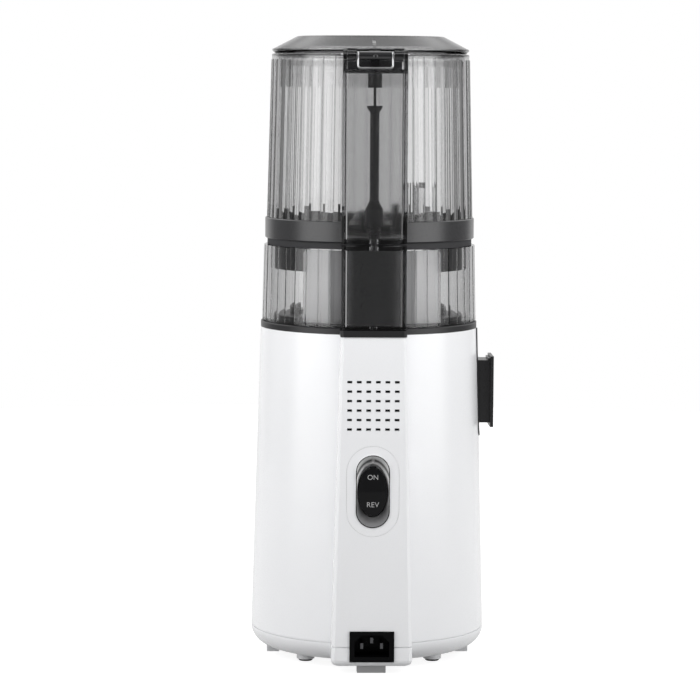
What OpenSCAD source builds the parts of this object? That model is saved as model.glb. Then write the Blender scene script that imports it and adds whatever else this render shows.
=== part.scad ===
// Cold press juicer: motor housing, juicing chamber, hopper and lid, stacked on one upright axis.
// Millimetres. Z is up from the table and the drive shaft turns on the Z axis. The juice spout
// looks towards -Y, the pulp chute towards -X, and the rear spine with the switch towards +Y.

/* [Heights] */
// Height of the housing's top edge above the table
housing_h = 240; // [200:1:288]
// Height of the collar on the housing
collar_h = 4.5; // [3.5:0.1:5.5]
// Height of the clear chamber wall
chamber_h = 55.6; // [46.4:0.1:66.8]
// Height of the dark seam under the hopper ring
seam_gap = 4.9; // [4:0.1:5.9]
// Height of the satin ring round the hopper's foot
ring_h = 15; // [12.5:0.5:18]
// Height of the hopper's fluted wall
hopper_h = 114.5; // [95.5:0.1:137.5]
// Height of the plain band at the hopper's rim
rim_h = 4.1; // [3.4:0.1:5]
// Height of the lid above the rim
lid_h = 13; // [11:0.1:15.6]

/* [Housing] */
// Outer radius of the housing at its top edge
housing_r = 79.4; // [70:0.01:95.4]
// Extra radius of the housing at its bottom seam
flare = 6.3; // [3:0.1:8]
// Thickness of the moulded housing walls
wall = 2.8; // [2.4:0.1:3.3]
// Height of the seam between the housing and the base cover
seam_z = 20; // [18:0.5:23]
// Height of the base cover's underside
ground_gap = 5.4; // [4.4:0.2:6.4]
// Radius of the base cover's lower edge
cover_round = 14; // [8:0.5:14]
// Depth of the recess that the chamber stands in
recess_h = 86; // [72:1:100]

/* [Rear spine] */
// Width of the rear column and of the spine's top
column_w = 46; // [38:0.1:56]
// Extra width of the spine at the bottom
spine_flare = 11.6; // [6:0.2:14]
// How far the spine stands out behind the round body
spine_out = 17.6; // [15.5:0.2:21]
// How far the spine leans out from its top to its bottom
spine_lean = 2; // [0:0.2:2.4]
// Chamfer on the spine's long edges
spine_chamfer = 1.9; // [1.2:0.1:2.3]

/* [Flutes] */
// Number of flutes round the chamber and the hopper
flutes = 48; // [40:1:57]
// Height of each flute's crown over its valleys
flute_rise = 0.75; // [0.4:0.05:0.9]

/* [Chute and spout] */
// Height of the pulp chute's outer frame
chute_h = 52; // [43:0.1:63]
// Width of the pulp chute's passage
chute_w = 19.6; // [16.4:0.2:20.4]
// How far the chute's outer frame stands out of the housing
chute_out = 10.5; // [9:0.5:13]
// Bore of the juice spout
spout_bore = 14; // [11.5:0.1:17]
// How far the juice spout stands out of the housing
spout_out = 20; // [17:0.5:24]

/* [Drive] */
// Teeth on the output gear and on the wheel that the motor drives
wheel_teeth = 60; // [50:1:66]
// Teeth on both small pinions
pinion_teeth = 12; // [12:1:14]
// Module of the second, slow stage
slow_module = 1; // [0.9:0.05:1.05]
// Module of the first, fast stage
fast_module = 0.7; // [0.6:0.05:0.8]
// Distance across the flats of the drive shaft's hexagon
hex_af = 10; // [8.4:0.1:12]
// Radius of the motor's can
motor_r = 38; // [34:0.5:42]

/* [Switch] */
// Width of the switch's bright cup
cup_w = 24; // [21:0.5:28]
// Height of the switch's bright cup
cup_h = 51.8; // [43.2:0.1:62.2]
// Width of the rocker
rocker_w = 20.8; // [17.4:0.2:21]
// Height of the rocker
rocker_h = 34; // [28.4:0.2:36]

/* [Clearances] */
// Gap between the chamber and the recess that it lifts out of
lift_gap = 1.6; // [1.4:0.1:1.9]
// Radial clearance of a shaft in its bearing
running = 0.05; // [0.03:0.01:0.08]
// Gap between parts that slide past each other
slide_gap = 0.4; // [0.35:0.05:0.6]

/* [Hidden] */
$fn = 96;
eps = 0.01;

// Colours
white = [0.93, 0.93, 0.94];
black = [0.09, 0.09, 0.1];
satin = [0.2, 0.2, 0.21];
smoke = [0.45, 0.45, 0.47, 0.6];
steel = [0.72, 0.73, 0.75];
zinc = [0.6, 0.6, 0.62];
copper = [0.72, 0.42, 0.2];
rubber = [0.16, 0.16, 0.17];
nylon = [0.85, 0.83, 0.76];

// Heights of the stack
collar_z = housing_h + collar_h;
chamber_top = collar_z + chamber_h;
ring_z = chamber_top + seam_gap;
flute_z = ring_z + ring_h;
rim_z = flute_z + hopper_h;
lid_z = rim_z + rim_h;
overall_h = lid_z + lid_h;

// Recess and chamber, from the housing inwards
cup_wall = 2.4;
cup_r = housing_r - wall - 0.6;
cup_in = cup_r - cup_wall;
cup_floor = housing_h - recess_h;
deck_t = 2.5;
bowl_wall = 2.4;
bowl_r = cup_in - lift_gap;
bowl_in = bowl_r - bowl_wall;
bowl_z = cup_floor + 1.5;
bowl_floor = bowl_z + 2.5;
step_t = 2.5;
clear_wall = 3;
chamber_r0 = housing_r - 1;
chamber_r1 = housing_r - 2.3;
foot_shadow = 1.2;
chamber_in0 = chamber_r0 - flute_rise - clear_wall;
chamber_in1 = chamber_r1 - flute_rise - clear_wall;

// Hopper and lid
ring_r = housing_r - 3;
ring_in = ring_r - 1.5;
hopper_r0 = housing_r - 4.1;
hopper_r1 = housing_r - 7.4;
hopper_in0 = hopper_r0 - flute_rise - clear_wall;
hopper_in1 = hopper_r1 - clear_wall;
spigot_r = chamber_in1 - 3.5;
lid_r = housing_r - 7.6;
lid_flat_r = lid_r - 18.2;
skirt_r = hopper_in1 - 2.1;
skirt_drop = 24;

// Rear spine and column
spine_y = housing_r + spine_out;
column_y = spine_y - 3.5;
chamber_column_y = spine_y - 2.5;
column_wall = 3;
rod_y = spine_y - 14;
hinge_y = spine_y - 8.5;
hinge_z = lid_z - 1.8;
cap_z = lid_z - 14;
column_low = ring_z + 0.6;
hinge_r = 1.5;
ear_t = 2.7;
ear_out = column_w / 2 - 0.3;
arm_half = 3.3;
arm_x = ear_out - ear_t - 0.2 - arm_half;
clip_half = arm_x - arm_half - 1;
travel = 4;
push_r = 3;
button_r = 2.5;
push_hole = push_r + slide_gap;

// Drive train: the motor and the output share the idler
idler_d = slow_module * (wheel_teeth + pinion_teeth) / 2;
motor_d = idler_d - fast_module * (wheel_teeth + pinion_teeth) / 2;
pressure_angle = 25;
backlash = 0.08;
gearbox_top = cup_floor - deck_t - 6.5;
gearbox_h = 32;
gearbox_z = gearbox_top - gearbox_h;
fast_z = gearbox_z + 4.5;
fast_w = 7;
slow_z = fast_z + fast_w + 1.5;
slow_w = 12;
shaft_r = 6.5;
axle_r = 3;
rotor_shaft_r = 4;
motor_z = seam_z + 8;
deck_tube_r = 10.6;
hub_in = 12;
hub_r = 14.2;
boss_r = 11;
hex_z = cup_floor + 6;
hex_h = 20;

// Strainer and auger
strainer_r0 = bowl_in - 21.6;
strainer_r1 = bowl_in - 15.6;
strainer_wall = 2;
strainer_top = housing_h + 5;
auger_z = bowl_floor + 3;
auger_r0 = strainer_r0 - strainer_wall - 1.5;
auger_r1 = strainer_r1 - strainer_wall - 2;
neck_r = 13;
neck_top = ring_z + 1;
pin_af = 8;
cutter_z = ring_z + 4.2;

// Pulp chute and juice spout
chute_z = housing_h - 73;
chute_mid = chute_z + chute_h / 2;
chute_side = 2.2;
chute_hw = chute_w / 2 + chute_side;
slot_lip = 2.5;
spout_z = bowl_floor + 17;
spout_r = spout_bore / 2 + 2.5;
spout_hw = spout_r + 1.5;

// Vents, switch and inlet, from the housing's top edge and from the table
vent_rows = 6;
vent_pitch = 6.7;
vent_top = housing_h - 31.6;
vent_w = 3.4;
vent_h = 1.8;
surround_w = cup_w + 13.3;
surround_h = cup_h + 12.6;
switch_z = vent_top - (vent_rows - 1) * vent_pitch - 11.85 - surround_h / 2;
inlet_w = 31.7;
inlet_h = 22;
inlet_z = seam_z;
foot_at = housing_r - 33.4;
screw_at = housing_r - 15.4;
screw_angles = [20, 160, 200, 340];

function lerp(a, b, t) = a + (b - a) * t;
function up_the_housing(z) = (housing_h - z) / (housing_h - seam_z);
function housing_at(z) = housing_r + flare * up_the_housing(z);
function spine_back(z) = spine_y + spine_lean * (housing_h - z) / (housing_h - ground_gap);
function spine_width(z) = column_w + spine_flare * (housing_h - z) / (housing_h - ground_gap);

// Points of an arc in a profile, as [radius, height]
function arc(c, r, from, to, steps = 6) =
  [for (i = [0:steps]) c + r * [cos(lerp(from, to, i / steps)), sin(lerp(from, to, i / steps))]];

module turned(points) {
  rotate_extrude($fn = 128)
    polygon(points);
}

module ring(r_out, r_in, z0, z1) {
  turned([[r_in, z0], [r_out, z0], [r_out, z1], [r_in, z1]]);
}

// A box between two values on each axis
module block(x, y, z) {
  translate([x[0], y[0], z[0]])
    cube([x[1] - x[0], y[1] - y[0], z[1] - z[0]]);
}

module rod(r, z0, z1, at = [0, 0]) {
  translate([at[0], at[1], z0])
    cylinder(r = r, h = z1 - z0);
}

module hex(af, z0, z1) {
  translate([0, 0, z0])
    cylinder(r = af / sqrt(3), h = z1 - z0, $fn = 6);
}

// Draws an X-Z outline from the face at y towards the inside
module from_rear(y, depth) {
  translate([0, y, 0])
    rotate([90, 0, 0])
      linear_extrude(depth)
        children();
}

// Draws an outline of [across, height] outwards from the axis, towards the angle
module outwards(angle, r0, r1) {
  rotate([0, 0, angle])
    translate([r0, 0, 0])
      rotate([90, 0, 90])
        linear_extrude(r1 - r0)
          children();
}

// A rod along X
module cross_rod(r, half, y, z) {
  translate([-half, y, z])
    rotate([0, 90, 0])
      cylinder(r = r, h = 2 * half);
}

module stadium(w, h) {
  square([w, h - w], center = true);
  for (s = [-1, 1])
    translate([0, s * (h - w) / 2])
      circle(d = w);
}

// A slot open at its top, with rounded lower corners
module u_slot(half, z0, z1, r = 7) {
  translate([-half, z0 + r])
    square([2 * half, z1 - z0 - r]);
  translate([r - half, z0])
    square([2 * (half - r), r + 1]);
  for (s = [-1, 1])
    translate([s * (half - r), z0 + r])
      circle(r);
}

// An involute spur gear's outline, with a tooth centred on +X turned by phase
function involute(a) = tan(a) * 180 / PI - a;
function flank(r, rb, half) = half + involute(pressure_angle) - involute(acos(min(1, rb / r)));
module gear_outline(teeth, m, phase = 0) {
  pitch = m * teeth / 2;
  base = pitch * cos(pressure_angle);
  tip = pitch + m;
  root = pitch - 1.25 * m;
  half = 90 / teeth - backlash / pitch * 90 / PI;
  low = max(root, base);
  radii = [root, low, lerp(low, tip, 0.33), lerp(low, tip, 0.66), tip];
  sides = [for (r = radii) [r, flank(max(r, low), base, half)]];
  polygon([
    for (i = [0:teeth - 1])
      for (s = [-1, 1])
        for (k = [0:len(sides) - 1])
          let (
            p = sides[s < 0 ? k : len(sides) - 1 - k],
            a = phase + i * 360 / teeth + s * p[1]
          )
          p[0] * [cos(a), sin(a)]
  ]);
}

// A fluted cone: convex reeds with sharp valleys between them
module fluted_cone(r0, r1, z0, z1) {
  steps = 5;
  translate([0, 0, z0])
    linear_extrude(z1 - z0, scale = r1 / r0)
      polygon([
        for (i = [0:flutes * steps - 1])
          let (
            a = 90 + i * 360 / (flutes * steps),
            r = r0 - flute_rise * (1 - sin(180 * (i % steps) / steps))
          )
          r * [cos(a), sin(a)]
      ]);
}

// A wire wound round the Z axis
module coil(r, wire, z0, z1, turns, steps = 16, sides = 6) {
  n = turns * steps;
  rings = [
    for (i = [0:n])
      for (k = [0:sides - 1])
        let (
          a = i * 360 / steps,
          z = lerp(z0 + wire, z1 - wire, i / n),
          q = r + wire * cos(k * 360 / sides)
        )
        [q * cos(a), q * sin(a), z + wire * sin(k * 360 / sides)]
  ];
  skin = [
    for (i = [0:n - 1])
      for (k = [0:sides - 1])
        let (p = i * sides, q = (k + 1) % sides)
        [p + k, p + sides + k, p + sides + q, p + q]
  ];
  ends = [[for (k = [0:sides - 1]) k], [for (k = [0:sides - 1]) n * sides + sides - 1 - k]];
  polyhedron(rings, concat(skin, ends), convexity = 4);
}

/* The base unit */

module spine_section(z, inset) {
  half = spine_width(z) / 2 - inset;
  back = spine_back(z) - inset;
  chamfer = spine_chamfer + 0.4 * up_the_housing(z);
  polygon([
    [-half, 0], [half, 0], [half, back - chamfer], [half - chamfer, back],
    [chamfer - half, back], [-half, back - chamfer]
  ]);
}

module spine(z0, z1, inset = 0) {
  hull() {
    translate([0, 0, z0])
      linear_extrude(eps)
        spine_section(z0, inset);
    translate([0, 0, z1 - eps])
      linear_extrude(eps)
        spine_section(z1, inset);
  }
}

module chute_slot(half, r0 = 55, r1 = 120, z1 = collar_z + 1) {
  outwards(180, r0, r1)
    u_slot(half, chute_z - 7 + (chute_hw + slot_lip + 1 - half), z1);
}

module spout_slot(half, r0 = 55, r1 = 130, z1 = collar_z + 1) {
  outwards(-90, r0, r1)
    u_slot(half, spout_z - spout_r - 6 + (spout_hw + slot_lip - half), z1);
}

module switch_opening(w, h, depth) {
  translate([0, 0, switch_z])
    from_rear(spine_back(switch_z) + 2, depth + 2)
      stadium(w, h);
}

module inlet_opening() {
  block([-inlet_w / 2, inlet_w / 2], [spine_y - 30, spine_y + 10],
    [inlet_z - inlet_h / 2, inlet_z + inlet_h / 2]);
}

module vents() {
  grid = (vent_rows - 1) / 2;
  for (i = [0:vent_rows - 1])
    for (k = [0:vent_rows - 1])
      translate([(i - grid) * vent_pitch - vent_w / 2, spine_y - 10, vent_top - k * vent_pitch - vent_h / 2])
        cube([vent_w, 20, vent_h]);
}

module housing() {
  color(white)
    difference() {
      union() {
        difference() {
          union() {
            turned([[0, seam_z], [housing_at(seam_z), seam_z], [housing_r, housing_h], [0, housing_h]]);
            spine(seam_z, housing_h);
          }
          union() {
            turned([
              [0, seam_z - 1], [housing_at(seam_z - 1) - wall, seam_z - 1],
              [housing_at(housing_h + 1) - wall, housing_h + 1], [0, housing_h + 1]
            ]);
            spine(seam_z - 1, housing_h + 1, wall);
          }
        }
        for (a = screw_angles)
          rotate([0, 0, a]) {
            rod(4.5, seam_z, seam_z + 25, [screw_at, 0]);
            block([screw_at, housing_at(seam_z + 25) - wall / 2], [-1.5, 1.5], [seam_z, seam_z + 25]);
          }
      }
      for (a = screw_angles)
        rotate([0, 0, a])
          rod(1.6, seam_z - 1, seam_z + 18, [screw_at, 0]);
      chute_slot(chute_hw + 1 + slot_lip);
      spout_slot(spout_hw + slot_lip);
      switch_opening(surround_w, surround_h, 1.4);
      switch_opening(cup_w + 5, cup_h + 5, 12);
      inlet_opening();
      vents();
    }
}

// The half profile of a dish with a rounded lower edge
module dish(r, h, corner) {
  edge = min(corner, h - 0.5);
  intersection() {
    union() {
      square([r - edge, h]);
      translate([0, edge])
        square([r, h - edge]);
      translate([r - edge, edge])
        circle(edge);
    }
    square([r, h]);
  }
}

module spine_foot(inset, floor) {
  edge = 4.5;
  hull() {
    for (a = [0:22.5:90])
      translate([0, 0, floor + edge * (1 - sin(a))])
        linear_extrude(eps)
          spine_section(ground_gap, inset + edge * (1 - cos(a)));
    translate([0, 0, seam_z - eps])
      linear_extrude(eps)
        spine_section(seam_z, inset);
  }
}

// A shallow step round the cover's top edge, which shows as a dark line under the housing
module seam_step() {
  depth = 0.9;
  low = seam_z - 0.8;
  difference() {
    block([-housing_r - 20, housing_r + 20], [-housing_r - 20, spine_y + 20], [low, seam_z + 1]);
    rod(housing_at(seam_z) - depth, low - 1, seam_z + 2);
    translate([0, 0, low - 1])
      linear_extrude(4)
        spine_section(seam_z, depth);
  }
}

module base_cover() {
  h = seam_z - ground_gap;
  color(white)
    difference() {
      union() {
        difference() {
          union() {
            translate([0, 0, ground_gap])
              rotate_extrude()
                dish(housing_at(seam_z), h, cover_round);
            spine_foot(0, ground_gap);
          }
          translate([0, 0, ground_gap + wall])
            rotate_extrude()
              dish(housing_at(seam_z) - wall, h, cover_round - wall);
          intersection() {
            spine_foot(wall, ground_gap + wall);
            block([-60, 60], [20, 130], [0, seam_z + 1]);
          }
        }
        for (a = screw_angles)
          rotate([0, 0, a])
            rod(5, ground_gap + 1, seam_z, [screw_at, 0]);
        // Ring that the motor's end cap stands in, and the slotted rail for the board
        translate([0, -motor_d, 0])
          ring(26, 23, ground_gap + 1, motor_z);
        difference() {
          block([-board_half() - 2, board_half() + 2], [-board_y() - 3, -board_y() + 3],
            [ground_gap + 1, seam_z + 2]);
          block([-board_half(), board_half()], [-board_y() - 0.8, -board_y() + 0.8],
            [seam_z - 6, seam_z + 3]);
        }
        // Bosses over the feet, and a skid on each side
        for (x = [-1, 1]) {
          for (y = [-1, 1])
            rod(6.5, 1.6, ground_gap + 1, [x * foot_at, y * foot_at]);
          block([x * (housing_r - 9.9) - 4.5, x * (housing_r - 9.9) + 4.5], [4, 14], [0, ground_gap + 1.6]);
        }
      }
      for (x = [-1, 1])
        for (y = [-1, 1])
          rod(5.2, 0, 2.6, [x * foot_at, y * foot_at]);
      for (a = screw_angles)
        rotate([0, 0, a]) {
          rod(2, ground_gap - 1, seam_z + 1, [screw_at, 0]);
          rod(3.6, ground_gap - 1, seam_z - 4, [screw_at, 0]);
        }
      seam_step();
      inlet_opening();
    }
}

module rubber_feet() {
  color(rubber)
    for (x = [-1, 1])
      for (y = [-1, 1])
        translate([x * foot_at, y * foot_at, 0])
          turned([[0, 0], [4.6, 0], [5.2, 0.6], [5.2, 2.6], [0, 2.6]]);
}

module rear_foot() {
  color([0.55, 0.55, 0.56])
    block([-10.25, 10.25], [spine_y - 13, spine_y - 4.5], [0, ground_gap]);
}

module base_screws() {
  color(steel)
    for (a = screw_angles)
      rotate([0, 0, a])
        translate([screw_at, 0, 0])
          difference() {
            turned([
              [0, seam_z - 6.4], [3.4, seam_z - 6.4], [3.4, seam_z - 4], [1.6, seam_z - 4],
              [1.6, seam_z + 16], [0, seam_z + 17.5]
            ]);
            for (turn = [0, 90])
              rotate([0, 0, turn])
                block([-2, 2], [-0.4, 0.4], [seam_z - 7, seam_z - 5.2]);
          }
}

module switch_surround() {
  color(white)
    difference() {
      intersection() {
        switch_opening(surround_w - 0.3, surround_h - 0.3, 1.4);
        spine(seam_z, housing_h);
      }
      switch_opening(cup_w, cup_h, 12);
    }
}

// The dished hollow of the switch cup, with an oval pocket for the rocker
module cup_hollow() {
  half = cup_w / 2 - 1;
  depth = 6;
  dish_r = (half * half + depth * depth) / (2 * depth);
  axis_y = spine_back(switch_z) + dish_r - depth;
  reach = (cup_h - cup_w) / 2;
  translate([0, axis_y, switch_z]) {
    translate([0, 0, -reach])
      cylinder(r = dish_r, h = 2 * reach);
    for (s = [-1, 1])
      translate([0, 0, s * reach])
        sphere(dish_r);
  }
  translate([0, 0, switch_z])
    from_rear(axis_y, dish_r + 4)
      oval(rocker_w + 1.2, rocker_h + 4.4);
}

module oval(w, h) {
  polygon([for (a = [0:10:350]) [w / 2 * cos(a), h / 2 * sin(a)]]);
}

module switch_cup() {
  face = spine_back(switch_z);
  color(steel) {
    difference() {
      translate([0, 0, switch_z])
        from_rear(face + 0.6, 12.6)
          stadium(cup_w, cup_h);
      cup_hollow();
      block([-6.5, 6.5], [face - 14, face - 9], [switch_z - 4, switch_z + 4]);
    }
    translate([0, face - 4, switch_z + cup_h / 2 - 4.2])
      rotate([-90, 0, 0])
        cylinder(r1 = 1.5, r2 = 1, h = 3.2);
  }
}

module switch_module() {
  face = spine_back(switch_z);
  color(black)
    difference() {
      block([-cup_w / 2 + 1, cup_w / 2 - 1], [face - 34, face - 12], [switch_z - 15, switch_z + 15]);
      block([-8, 8], [face - 20, face - 11], [switch_z - 10, switch_z + 10]);
    }
}

module switch_rocker() {
  face = spine_back(switch_z);
  pivot_y = face - 10;
  color(black) {
    intersection() {
      translate([0, 0, switch_z])
        from_rear(face + 3, 9)
          oval(rocker_w, rocker_h);
      // The two pads of the rocker slope gently away from its middle line
      union()
        for (s = [-1, 1])
          translate([0, face + 1.2, switch_z])
            rotate([s * 4, 0, 0])
              block([-20, 20], [-5, 0], s > 0 ? [-0.2, 30] : [-30, 0.2]);
    }
    block([-2.4, 2.4], [face - 3.4, face - 0.6], [switch_z + rocker_h / 2 - 1.5, switch_z + rocker_h / 2 + 0.6]);
    block([-3, 3], [pivot_y, face - 2], [switch_z - 3, switch_z + 3]);
    cross_rod(3, 6, pivot_y, switch_z);
  }
}

module inlet_outline(w, h, cut) {
  polygon([
    [-w / 2, -h / 2], [w / 2, -h / 2], [w / 2, h / 2 - cut], [w / 2 - cut, h / 2],
    [cut - w / 2, h / 2], [-w / 2, h / 2 - cut]
  ]);
}

module power_inlet() {
  back = spine_back(inlet_z);
  color(black)
    difference() {
      translate([0, 0, inlet_z])
        union() {
          from_rear(back + 0.9, 4)
            square([inlet_w, inlet_h], center = true);
          from_rear(back - 1, 21)
            square([inlet_w - 4.2, inlet_h - 3.2], center = true);
        }
      translate([0, 0, inlet_z + 0.5])
        from_rear(back + 2, 18)
          inlet_outline(24.6, 15.6, 5);
    }
}

module inlet_pins() {
  back = spine_back(inlet_z);
  color(steel)
    for (p = [[-7, 0], [7, 0], [0, 4]])
      block([p[0] - 1, p[0] + 1], [back - 16, back - 3], [inlet_z + p[1] - 2, inlet_z + p[1] + 2]);
}

module vent_baffle() {
  half = (vent_rows - 1) / 2 * vent_pitch + vent_w / 2 + 0.7;
  low = vent_top - (vent_rows - 1) * vent_pitch - 3;
  high = vent_top + 3;
  y = spine_y - wall - 4;
  color(black)
    intersection() {
      difference() {
        block([-half, half], [y, y + 10], [low - 1.5, high + 1.5]);
        block([-half - 1, half + 1], [y + 1.5, y + 11], [low, high]);
      }
      spine(low - 20, high + 20, wall);
    }
}

// The band between two slots, from the recess to just proud of the housing
module slot_trim() {
  color(black)
    difference() {
      intersection() {
        children(0);
        turned([
          [0, cup_floor - 20], [housing_at(cup_floor - 20) + 0.7, cup_floor - 20],
          [housing_r + 0.7, housing_h], [0, housing_h]
        ]);
      }
      children(1);
      rod(cup_r, cup_floor - 21, housing_h + 1);
    }
}

module chute_trim() {
  slot_trim() {
    chute_slot(chute_hw + 1 + slot_lip);
    chute_slot(chute_hw + 1);
  }
}

module spout_trim() {
  slot_trim() {
    spout_slot(spout_hw + slot_lip);
    spout_slot(spout_hw);
  }
}

module deck_cup() {
  color(black)
    difference() {
      union() {
        turned([
          [deck_tube_r - 2, cup_floor - deck_t], [cup_r, cup_floor - deck_t], [cup_r, housing_h],
          [housing_r - 0.1, housing_h], [housing_r - 0.1, collar_z - 0.6], [housing_r - 0.7, collar_z],
          [cup_in, collar_z], [cup_in, cup_floor], [deck_tube_r, cup_floor],
          [deck_tube_r, cup_floor + 5], [deck_tube_r - 2, cup_floor + 5]
        ]);
        difference() {
          column_block(spine_y, housing_h, collar_z, -0.5);
          rod(cup_in, housing_h - 1, collar_z + 1);
        }
      }
      rod(push_hole, housing_h - 1, collar_z + 1, [0, rod_y]);
      chute_slot(chute_hw + 1);
      spout_slot(spout_hw);
    }
}

/* The motor and the gearbox */

module shaft_seal() {
  color(rubber)
    ring(deck_tube_r - 2, shaft_r + running, cup_floor - 1, cup_floor + 4);
}

module motor_can() {
  color(zinc)
    translate([0, -motor_d, 0])
      turned([
        [rotor_shaft_r + running, gearbox_z - 3], [rotor_shaft_r + running, gearbox_z],
        [motor_r, gearbox_z], [motor_r, motor_z + 6], [motor_r - 2, motor_z + 6],
        [motor_r - 2, gearbox_z - 3]
      ]);
}

module motor_end_cap() {
  color(zinc)
    translate([0, -motor_d, 0])
      difference() {
        turned([
          [rotor_shaft_r + running, motor_z], [30, motor_z], [motor_r, motor_z + 3],
          [motor_r, motor_z + 6], [30, motor_z + 6], [28, motor_z + 3], [9, motor_z + 3],
          [9, motor_z + 10], [rotor_shaft_r + running, motor_z + 10]
        ]);
        for (a = [0:45:315])
          rotate([0, 0, a])
            rod(3.2, motor_z - 1, motor_z + 4, [19, 0]);
      }
}

module stator() {
  low = motor_z + 24;
  high = gearbox_z - 10;
  color(copper)
    translate([0, -motor_d, 0])
      difference() {
        ring(motor_r - 2, motor_r - 12, low, high);
        for (a = [0:30:330])
          rotate([0, 0, a])
            block([motor_r - 14, motor_r - 7], [-1.2, 1.2], [low - 1, high + 1]);
      }
}

module rotor() {
  low = motor_z + 26;
  high = gearbox_z - 12;
  color(steel)
    translate([0, -motor_d, 0]) {
      rod(rotor_shaft_r, motor_z + 1, gearbox_z + 2);
      difference() {
        rod(motor_r - 13, low, high);
        for (a = [0:30:330])
          rotate([0, 0, a])
            block([motor_r - 18, motor_r], [-1, 1], [low - 1, high + 1]);
      }
      rod(2.5, gearbox_z + 2, fast_z + fast_w + 0.4);
    }
}

module cooling_fan() {
  z = motor_z + 13;
  color(black)
    translate([0, -motor_d, 0])
      difference() {
        union() {
          rod(8, z, z + 9);
          rod(motor_r - 8, z + 7, z + 9);
          for (a = [0:40:320])
            rotate([0, 0, a])
              block([7, motor_r - 8.5], [-0.8, 0.8], [z + 1, z + 8]);
        }
        rod(rotor_shaft_r, z - 1, z + 10);
      }
}

module motor_pinion() {
  color(steel)
    translate([0, -motor_d, fast_z])
      difference() {
        linear_extrude(fast_w)
          gear_outline(pinion_teeth, fast_module, 90 + 180 / pinion_teeth);
        translate([0, 0, -1])
          cylinder(r = 2.5, h = fast_w + 2);
      }
}

module gearbox_outline(inset) {
  circle(slow_module * (wheel_teeth / 2 + 1) + 6 - inset);
  translate([0, -idler_d])
    circle(fast_module * (wheel_teeth / 2 + 1) + 5 - inset);
  translate([inset - 25, -idler_d])
    square([50 - 2 * inset, idler_d]);
}

module gearbox_case() {
  color(zinc)
    difference() {
      translate([0, 0, gearbox_z])
        linear_extrude(gearbox_h - 3.5)
          gearbox_outline(0);
      difference() {
        translate([0, 0, gearbox_z + 3])
          linear_extrude(gearbox_h)
            gearbox_outline(2.6);
        rod(6, gearbox_z, gearbox_z + 4, [0, -idler_d]);
      }
      rod(rotor_shaft_r + 0.5, gearbox_z - 1, gearbox_z + 4, [0, -motor_d]);
      rod(axle_r, gearbox_z + 1, gearbox_z + 5, [0, -idler_d]);
    }
}

module gearbox_cover() {
  color(zinc)
    difference() {
      union() {
        translate([0, 0, gearbox_top - 3.5])
          linear_extrude(3.5)
            gearbox_outline(0);
        rod(13.5, gearbox_top - 5, gearbox_top + 5.5);
        rod(6, gearbox_top - 1, gearbox_top + 2, [0, -idler_d]);
      }
      rod(11, gearbox_top - 6, gearbox_top + 6);
      rod(axle_r, gearbox_top - 4, gearbox_top + 0.5, [0, -idler_d]);
    }
}

module gearbox_screws() {
  color(steel)
    for (a = [35, 145, 215, 325])
      rotate([0, 0, a])
        translate([slow_module * (wheel_teeth / 2 + 1) + 1, 0, gearbox_top])
          difference() {
            cylinder(r = 2.6, h = 2);
            translate([-2, -0.4, 1])
              cube([4, 0.8, 2]);
          }
}

module output_bearing() {
  color(steel)
    ring(11, shaft_r + running, gearbox_top - 5, gearbox_top + 5);
}

module idler_axle() {
  color(steel)
    rod(axle_r, gearbox_z + 1, gearbox_top + 0.5, [0, -idler_d]);
}

module idler_gear() {
  wheel_phase = 90;
  color(nylon)
    translate([0, -idler_d, 0])
      difference() {
        union() {
          translate([0, 0, fast_z])
            linear_extrude(fast_w)
              gear_outline(wheel_teeth, fast_module, wheel_phase);
          translate([0, 0, fast_z + fast_w - eps])
            linear_extrude(slow_z + slow_w - fast_z - fast_w)
              gear_outline(pinion_teeth, slow_module, 90 + 180 / pinion_teeth);
        }
        rod(axle_r + running, fast_z - 1, slow_z + slow_w + 1);
        for (a = [0:60:300])
          rotate([0, 0, a])
            rod(3.6, fast_z - 1, fast_z + fast_w + 1, [13, 0]);
      }
}

module output_gear() {
  color(nylon)
    difference() {
      translate([0, 0, slow_z])
        linear_extrude(slow_w)
          gear_outline(wheel_teeth, slow_module, -90);
      rod(shaft_r, slow_z - 1, slow_z + slow_w + 1);
      ring(25, 11, slow_z + slow_w - 4, slow_z + slow_w + 1);
      ring(25, 11, slow_z - 1, slow_z + 3);
    }
}

module drive_shaft() {
  color(steel) {
    rod(shaft_r, slow_z, hex_z);
    hex(hex_af, hex_z - eps, hex_z + hex_h);
  }
}

function board_y() = motor_d + motor_r + 8;
function board_half() =
  0.6 * sqrt(pow(housing_at(seam_z + 60) - wall, 2) - pow(board_y(), 2));

module control_board() {
  y = -board_y();
  half = board_half() - 0.5;
  low = seam_z - 6;
  color([0.1, 0.35, 0.2])
    block([-half, half], [y - 0.8, y + 0.8], [low, low + 64]);
  color(black) {
    block([-12, 2], [y - 12.8, y - 0.8], [low + 18, low + 34]);
    for (x = [8, 17])
      translate([x, y - 0.8, low + 26])
        rotate([90, 0, 0])
          cylinder(r = 3.8, h = 12);
    block([-14, 14], [y - 6.8, y - 0.8], [low + 44, low + 54]);
  }
}

module interlock_switch() {
  top = housing_h;
  color(black)
    difference() {
      block([-7, 7], [rod_y - 5.5, rod_y + 5.5], [top - 22, top]);
      rod(button_r + slide_gap, top - 12, top + 1, [0, rod_y]);
    }
}

module interlock_button() {
  color(rubber)
    rod(button_r, housing_h - 10, collar_z + 0.5, [0, rod_y]);
}

/* The juicing chamber */

module column_block(back, z0, z1, inset = 0) {
  half = column_w / 2 - inset;
  chamfer = spine_chamfer - inset / 3;
  translate([0, 0, z0])
    linear_extrude(z1 - z0)
      polygon([
        [-half, 40], [half, 40], [half, back - inset - chamfer], [half - chamfer, back - inset],
        [chamfer - half, back - inset], [-half, back - inset - chamfer]
      ]);
}

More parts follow.
